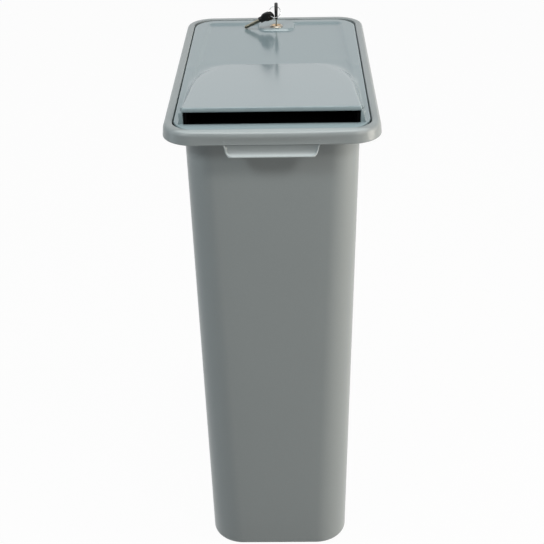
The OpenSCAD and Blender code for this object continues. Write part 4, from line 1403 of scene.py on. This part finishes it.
# The spare key leans until its tip rests on the sunk panel.
PANEL_DEPTH, TIP_CLEAR, HOLE_TO_TIP = 0.0038, 0.0020, 0.0462
SPARE_TILT = math.acos((SPARE_RISE + PANEL_DEPTH - TIP_CLEAR) / HOLE_TO_TIP)
SPARE_PLACE = (
    Matrix.Translation((SPARE_X, SPARE_Y, RIM_TOP + SPARE_RISE))
    @ Matrix.Rotation(math.radians(-6.25), 4, "Z")
    @ Matrix.Rotation(SPARE_TILT, 4, "Y")
    @ Matrix.Rotation(math.radians(-42.0), 4, "Z")
)
# The ring's lean, the way it hangs from the key, and where the wire's two ends lie.
RING_LEAN, RING_HANG, RING_END = (math.radians(angle) for angle in (62.0, 12.7, 250.0))


def key_outline(keys, count):
    """Outline of a key head round its hole, in the key's own plane."""
    half_w, half_l = keys.head_width / 2, (keys.head_length - keys.neck) / 2
    middle = Vector((0.0, keys.hole_in - half_l))
    radius, start, tries = half_l * 0.93, 0.002, 18
    points = []
    for step in range(count):
        angle = 2 * math.pi * step / count
        direction = Vector((math.cos(angle), math.sin(angle)))
        reach = 0.0
        for _ in range(tries):
            probe = direction * (reach + start)
            dx = abs(probe.x - middle.x) - (half_w - radius)
            dy = abs(probe.y - middle.y) - (half_l - radius)
            outside = math.hypot(max(dx, 0.0), max(dy, 0.0)) + min(max(dx, dy), 0.0) - radius
            reach += -outside * 0.9
        points.append(direction * (reach + start))
    return points


def key_head(keys, place):
    """Lens-shaped head with rounded edges, a hole and a neck over the blade."""
    count = 96
    outline = key_outline(keys, count)
    hole = [Vector((math.cos(a), math.sin(a))) * keys.hole
            for a in (2 * math.pi * s / count for s in range(count))]
    half = keys.head_thick / 2
    profile = [(0.0, 0.18), (0.02, 0.42), (0.07, 0.62), (0.18, 0.80), (0.40, 0.95), (0.70, 1.0),
               (0.93, 0.98), (0.985, 0.90), (1.0, 0.72)]

    def ring(t, thick):
        return [place @ Vector((thick * half, *a.lerp(b, t))) for a, b in zip(outline, hole)]

    shell = RingShell.from_points(ring(*profile[0]))
    for t, thick in profile[1:]:
        shell.grow(ring(t, thick))
    for t, thick in reversed(profile):
        shell.grow(ring(t, -thick))
    shell.grow(ring(*profile[0]))
    mesh = shell.mesh
    neck = bmesh.new()
    foot = keys.hole_in - keys.head_length
    neck_thick, neck_half, overlap = half * 0.9, 0.0062, 0.004
    add_block(
        neck, (-neck_thick, -neck_half, foot),
        (neck_thick, neck_half, foot + keys.neck + overlap), edge=0.0009, segments=4,
    )
    bmesh.ops.transform(neck, matrix=place, verts=neck.verts)
    bmesh.ops.remove_doubles(mesh, verts=mesh.verts, dist=WELD)
    bmesh.ops.recalc_face_normals(mesh, faces=mesh.faces)
    joined = bpy.data.meshes.new("neck")
    neck.to_mesh(joined)
    neck.free()
    mesh.from_mesh(joined)
    bpy.data.meshes.remove(joined)
    return mesh


class CONSOLE_OT_keys(bpy.types.Operator):
    """Builds the two key heads and finishes their blades"""

    bl_idname = "console.keys"
    bl_label = "Keys"

    def execute(self, context):
        keys = context.scene.console_keys
        colours = context.scene.console_colours
        nickel = plated_metal(
            "key_nickel", colours.nickel, roughness=0.22, edge=0.0003, tarnish=0.5,
            brushing=(1, 1, 0.3),
        )
        black = black_plastic("key_head_plastic", colours.head, roughness=0.4, gleam=0.25)
        for blade in ("key_blade", "spare_key_blade"):
            dress(blade, nickel)
        for name, node, body, place in (
            ("key_head", "key_bow", "key", KEY_PLACE),
            ("spare_key_head", "spare_key_bow", "spare_key", SPARE_PLACE),
        ):
            piece = finish_piece(
                name, key_head(keys, place), body, black, crease=60.0
            )
            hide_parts(node)
        return {"FINISHED"}


class CONSOLE_OT_ring(bpy.types.Operator):
    """Builds the split ring as two flat turns of spring wire"""

    bl_idname = "console.ring"
    bl_label = "Key ring"

    def execute(self, context):
        keys = context.scene.console_keys
        colours = context.scene.console_colours
        mesh = bmesh.new()
        turns, wire_width, steps_a_turn = keys.turns, 0.0012, 72
        thick = keys.wire / turns * 0.96
        steps = steps_a_turn * turns
        section = bmesh.ops.create_circle(mesh, cap_ends=True, segments=12, radius=0.5)["verts"]
        bmesh.ops.scale(mesh, vec=(wire_width, thick, 1.0), verts=section)
        bmesh.ops.rotate(
            mesh, verts=section, cent=(0, 0, 0), matrix=Matrix.Rotation(math.pi / 2, 3, "X")
        )
        start = keys.wire / 2 * (1 - 1 / turns)
        bmesh.ops.translate(mesh, vec=(keys.ring, 0, -start), verts=section)
        bmesh.ops.spin(
            mesh, geom=[*mesh.faces], cent=(0, 0, 0), axis=(0, 0, 1),
            dvec=(0, 0, 2 * start / steps), angle=2 * math.pi * turns, steps=steps,
        )
        hang = Vector((-math.sin(RING_HANG), -math.cos(RING_HANG), 0)) * keys.ring
        place = (
            KEY_PLACE @ Matrix.Rotation(RING_LEAN, 4, "X") @ Matrix.Translation(hang)
            @ Matrix.Rotation(RING_END, 4, "Z")
        )
        bmesh.ops.transform(mesh, matrix=place, verts=mesh.verts)
        wire = plated_metal(
            "ring_wire", colours.zinc, roughness=0.14, edge=0.0001, tarnish=0.1
        )
        piece = finish_piece("split_ring", mesh, "ring", wire, crease=60.0)
        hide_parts("key_ring")
        return {"FINISHED"}


# ---------- studio ----------


def add_lamp(name, power, rgb, place, target, size):
    """Soft box that faces a target."""
    data = bpy.data.lights.new(name, "AREA")
    data.shape = "RECTANGLE"
    data.size, data.size_y = size
    data.energy = power
    data.color = rgb
    lamp = bpy.data.objects.new(name, data)
    lamp.location = place
    aim = Vector(target) - Vector(place)
    lamp.rotation_euler = aim.to_track_quat("-Z", "Y").to_euler()
    bpy.context.scene.collection.objects.link(lamp)


class CONSOLE_OT_studio(bpy.types.Operator):
    """Sets the floor, the world, the soft boxes and the camera"""

    bl_idname = "console.studio"
    bl_label = "Studio"

    def execute(self, context):
        studio = context.scene.console_studio
        self.floor()
        self.world(context, studio)
        add_lamp(
            "overhead_box", studio.overhead, (0.97, 1.0, 1.0),
            place=(-0.05, 0.05, 2.20), target=(0, -0.15, 0.7), size=(1.0, 0.9),
        )
        add_lamp(
            "warm_side_box", studio.side, (1.0, 0.94, 0.85),
            place=(2.0, -0.5, 0.6), target=(0, 0, 0.35), size=(0.9, 1.6),
        )
        add_lamp(
            "cool_side_box", studio.cool, (0.82, 0.94, 1.0),
            place=(-2.0, -0.4, 0.8), target=(0, 0, 0.4), size=(0.9, 1.6),
        )
        for name, side, rgb in (
            ("front_box_left", -1, (0.94, 1.0, 1.0)), ("front_box_right", 1, (1.0, 0.97, 0.93)),
        ):
            add_lamp(
                name, studio.front, rgb,
                place=(side * 1.25, -1.50, 2.00), target=(0, -0.10, 0.45), size=(0.45, 0.45),
            )
        self.camera(context, studio)
        context.scene.view_settings.view_transform = "Standard"
        return {"FINISHED"}

    @staticmethod
    def floor():
        """A sheet of pale paper that shows white and keeps the soft shadow."""
        mesh = bmesh.new()
        bmesh.ops.create_grid(mesh, x_segments=4, y_segments=4, size=14.0)
        data = bpy.data.meshes.new("studio_floor")
        mesh.to_mesh(data)
        mesh.free()
        floor = bpy.data.objects.new("studio_floor", data)
        bpy.context.scene.collection.objects.link(floor)
        material = bpy.data.materials.new("floor_paper")
        material.use_nodes = True
        paper = Nodes(material.node_tree)
        grey, glow_share = (0.48, 0.48, 0.48, 1.0), 0.97
        matt = paper.node(
            "ShaderNodeBsdfPrincipled", inputs={"Base Color": grey, "Roughness": 0.9}
        )
        glow = paper.node("ShaderNodeEmission", inputs={"Color": WHITE, "Strength": 1.0})
        shown = paper.mix_shaders(paper.seen_directly() * glow_share, matt, glow)
        paper.node("ShaderNodeOutputMaterial", inputs={"Surface": shown})
        data.materials.append(material)

    @staticmethod
    def world(context, studio):
        """Faint light from all round, white where it is seen directly."""
        world = bpy.data.worlds.new("studio_air")
        world.use_nodes = True
        context.scene.world = world
        air = Nodes(world.node_tree)
        soft, white = (
            air.node("ShaderNodeBackground", inputs={"Color": WHITE, "Strength": strength})
            for strength in (studio.ambient, 1.0)
        )
        shown = air.mix_shaders(air.seen_directly(), soft, white)
        air.node("ShaderNodeOutputWorld", inputs={"Surface": shown})

    @staticmethod
    def camera(context, studio):
        """The camera, turned by its yaw, pitch and roll."""
        data = bpy.data.cameras.new("studio_camera")
        data.lens = studio.lens
        data.sensor_width = 36.0
        camera = bpy.data.objects.new("studio_camera", data)
        context.scene.collection.objects.link(camera)
        sy, cy = math.sin(studio.yaw), math.cos(studio.yaw)
        sp, cp = math.sin(studio.pitch), math.cos(studio.pitch)
        ahead = Vector((sy * cp, cy * cp, -sp))
        right = Vector((cy, -sy, 0.0))
        up = Vector((sp * sy, sp * cy, cp))
        sr, cr = math.sin(studio.roll), math.cos(studio.roll)
        across = right * cr - up * sr
        upward = right * sr + up * cr
        turn = Matrix((across, upward, -ahead)).transposed().to_4x4()
        place = Matrix.Translation((studio.camera_x, studio.camera_y, studio.camera_z))
        camera.matrix_world = place @ turn
        context.scene.camera = camera


class CONSOLE_PT_panel(bpy.types.Panel):
    """Lists the console bin's pieces"""

    bl_idname = "CONSOLE_PT_panel"
    bl_label = "Console bin"
    bl_space_type = "VIEW_3D"
    bl_region_type = "UI"
    bl_category = "Console"

    def draw(self, context):
        for operator in OPERATORS:
            self.layout.operator(operator.bl_idname)


OPERATORS = (
    CONSOLE_OT_studio,
    CONSOLE_OT_tub,
    CONSOLE_OT_pull_handles,
    CONSOLE_OT_lid,
    CONSOLE_OT_chute,
    CONSOLE_OT_hardware,
    CONSOLE_OT_lock,
    CONSOLE_OT_keys,
    CONSOLE_OT_ring,
)
GROUPS = {
    "console_tub": TubSizes,
    "console_lid": LidSizes,
    "console_keys": KeySizes,
    "console_colours": FinishColours,
    "console_studio": StudioSettings,
}


def register():
    for group in GROUPS.values():
        bpy.utils.register_class(group)
    for operator in (*OPERATORS, CONSOLE_PT_panel):
        bpy.utils.register_class(operator)
    for name, group in GROUPS.items():
        setattr(bpy.types.Scene, name, PointerProperty(type=group))


def unregister():
    for name in GROUPS:
        delattr(bpy.types.Scene, name)
    for operator in (CONSOLE_PT_panel, *reversed(OPERATORS)):
        bpy.utils.unregister_class(operator)
    for group in reversed(GROUPS.values()):
        bpy.utils.unregister_class(group)


def main():
    """Builds every piece."""
    register()
    for operator in OPERATORS:
        group, name = operator.bl_idname.split(".")
        getattr(getattr(bpy.ops, group), name)()


if __name__ == "__main__":
    main()
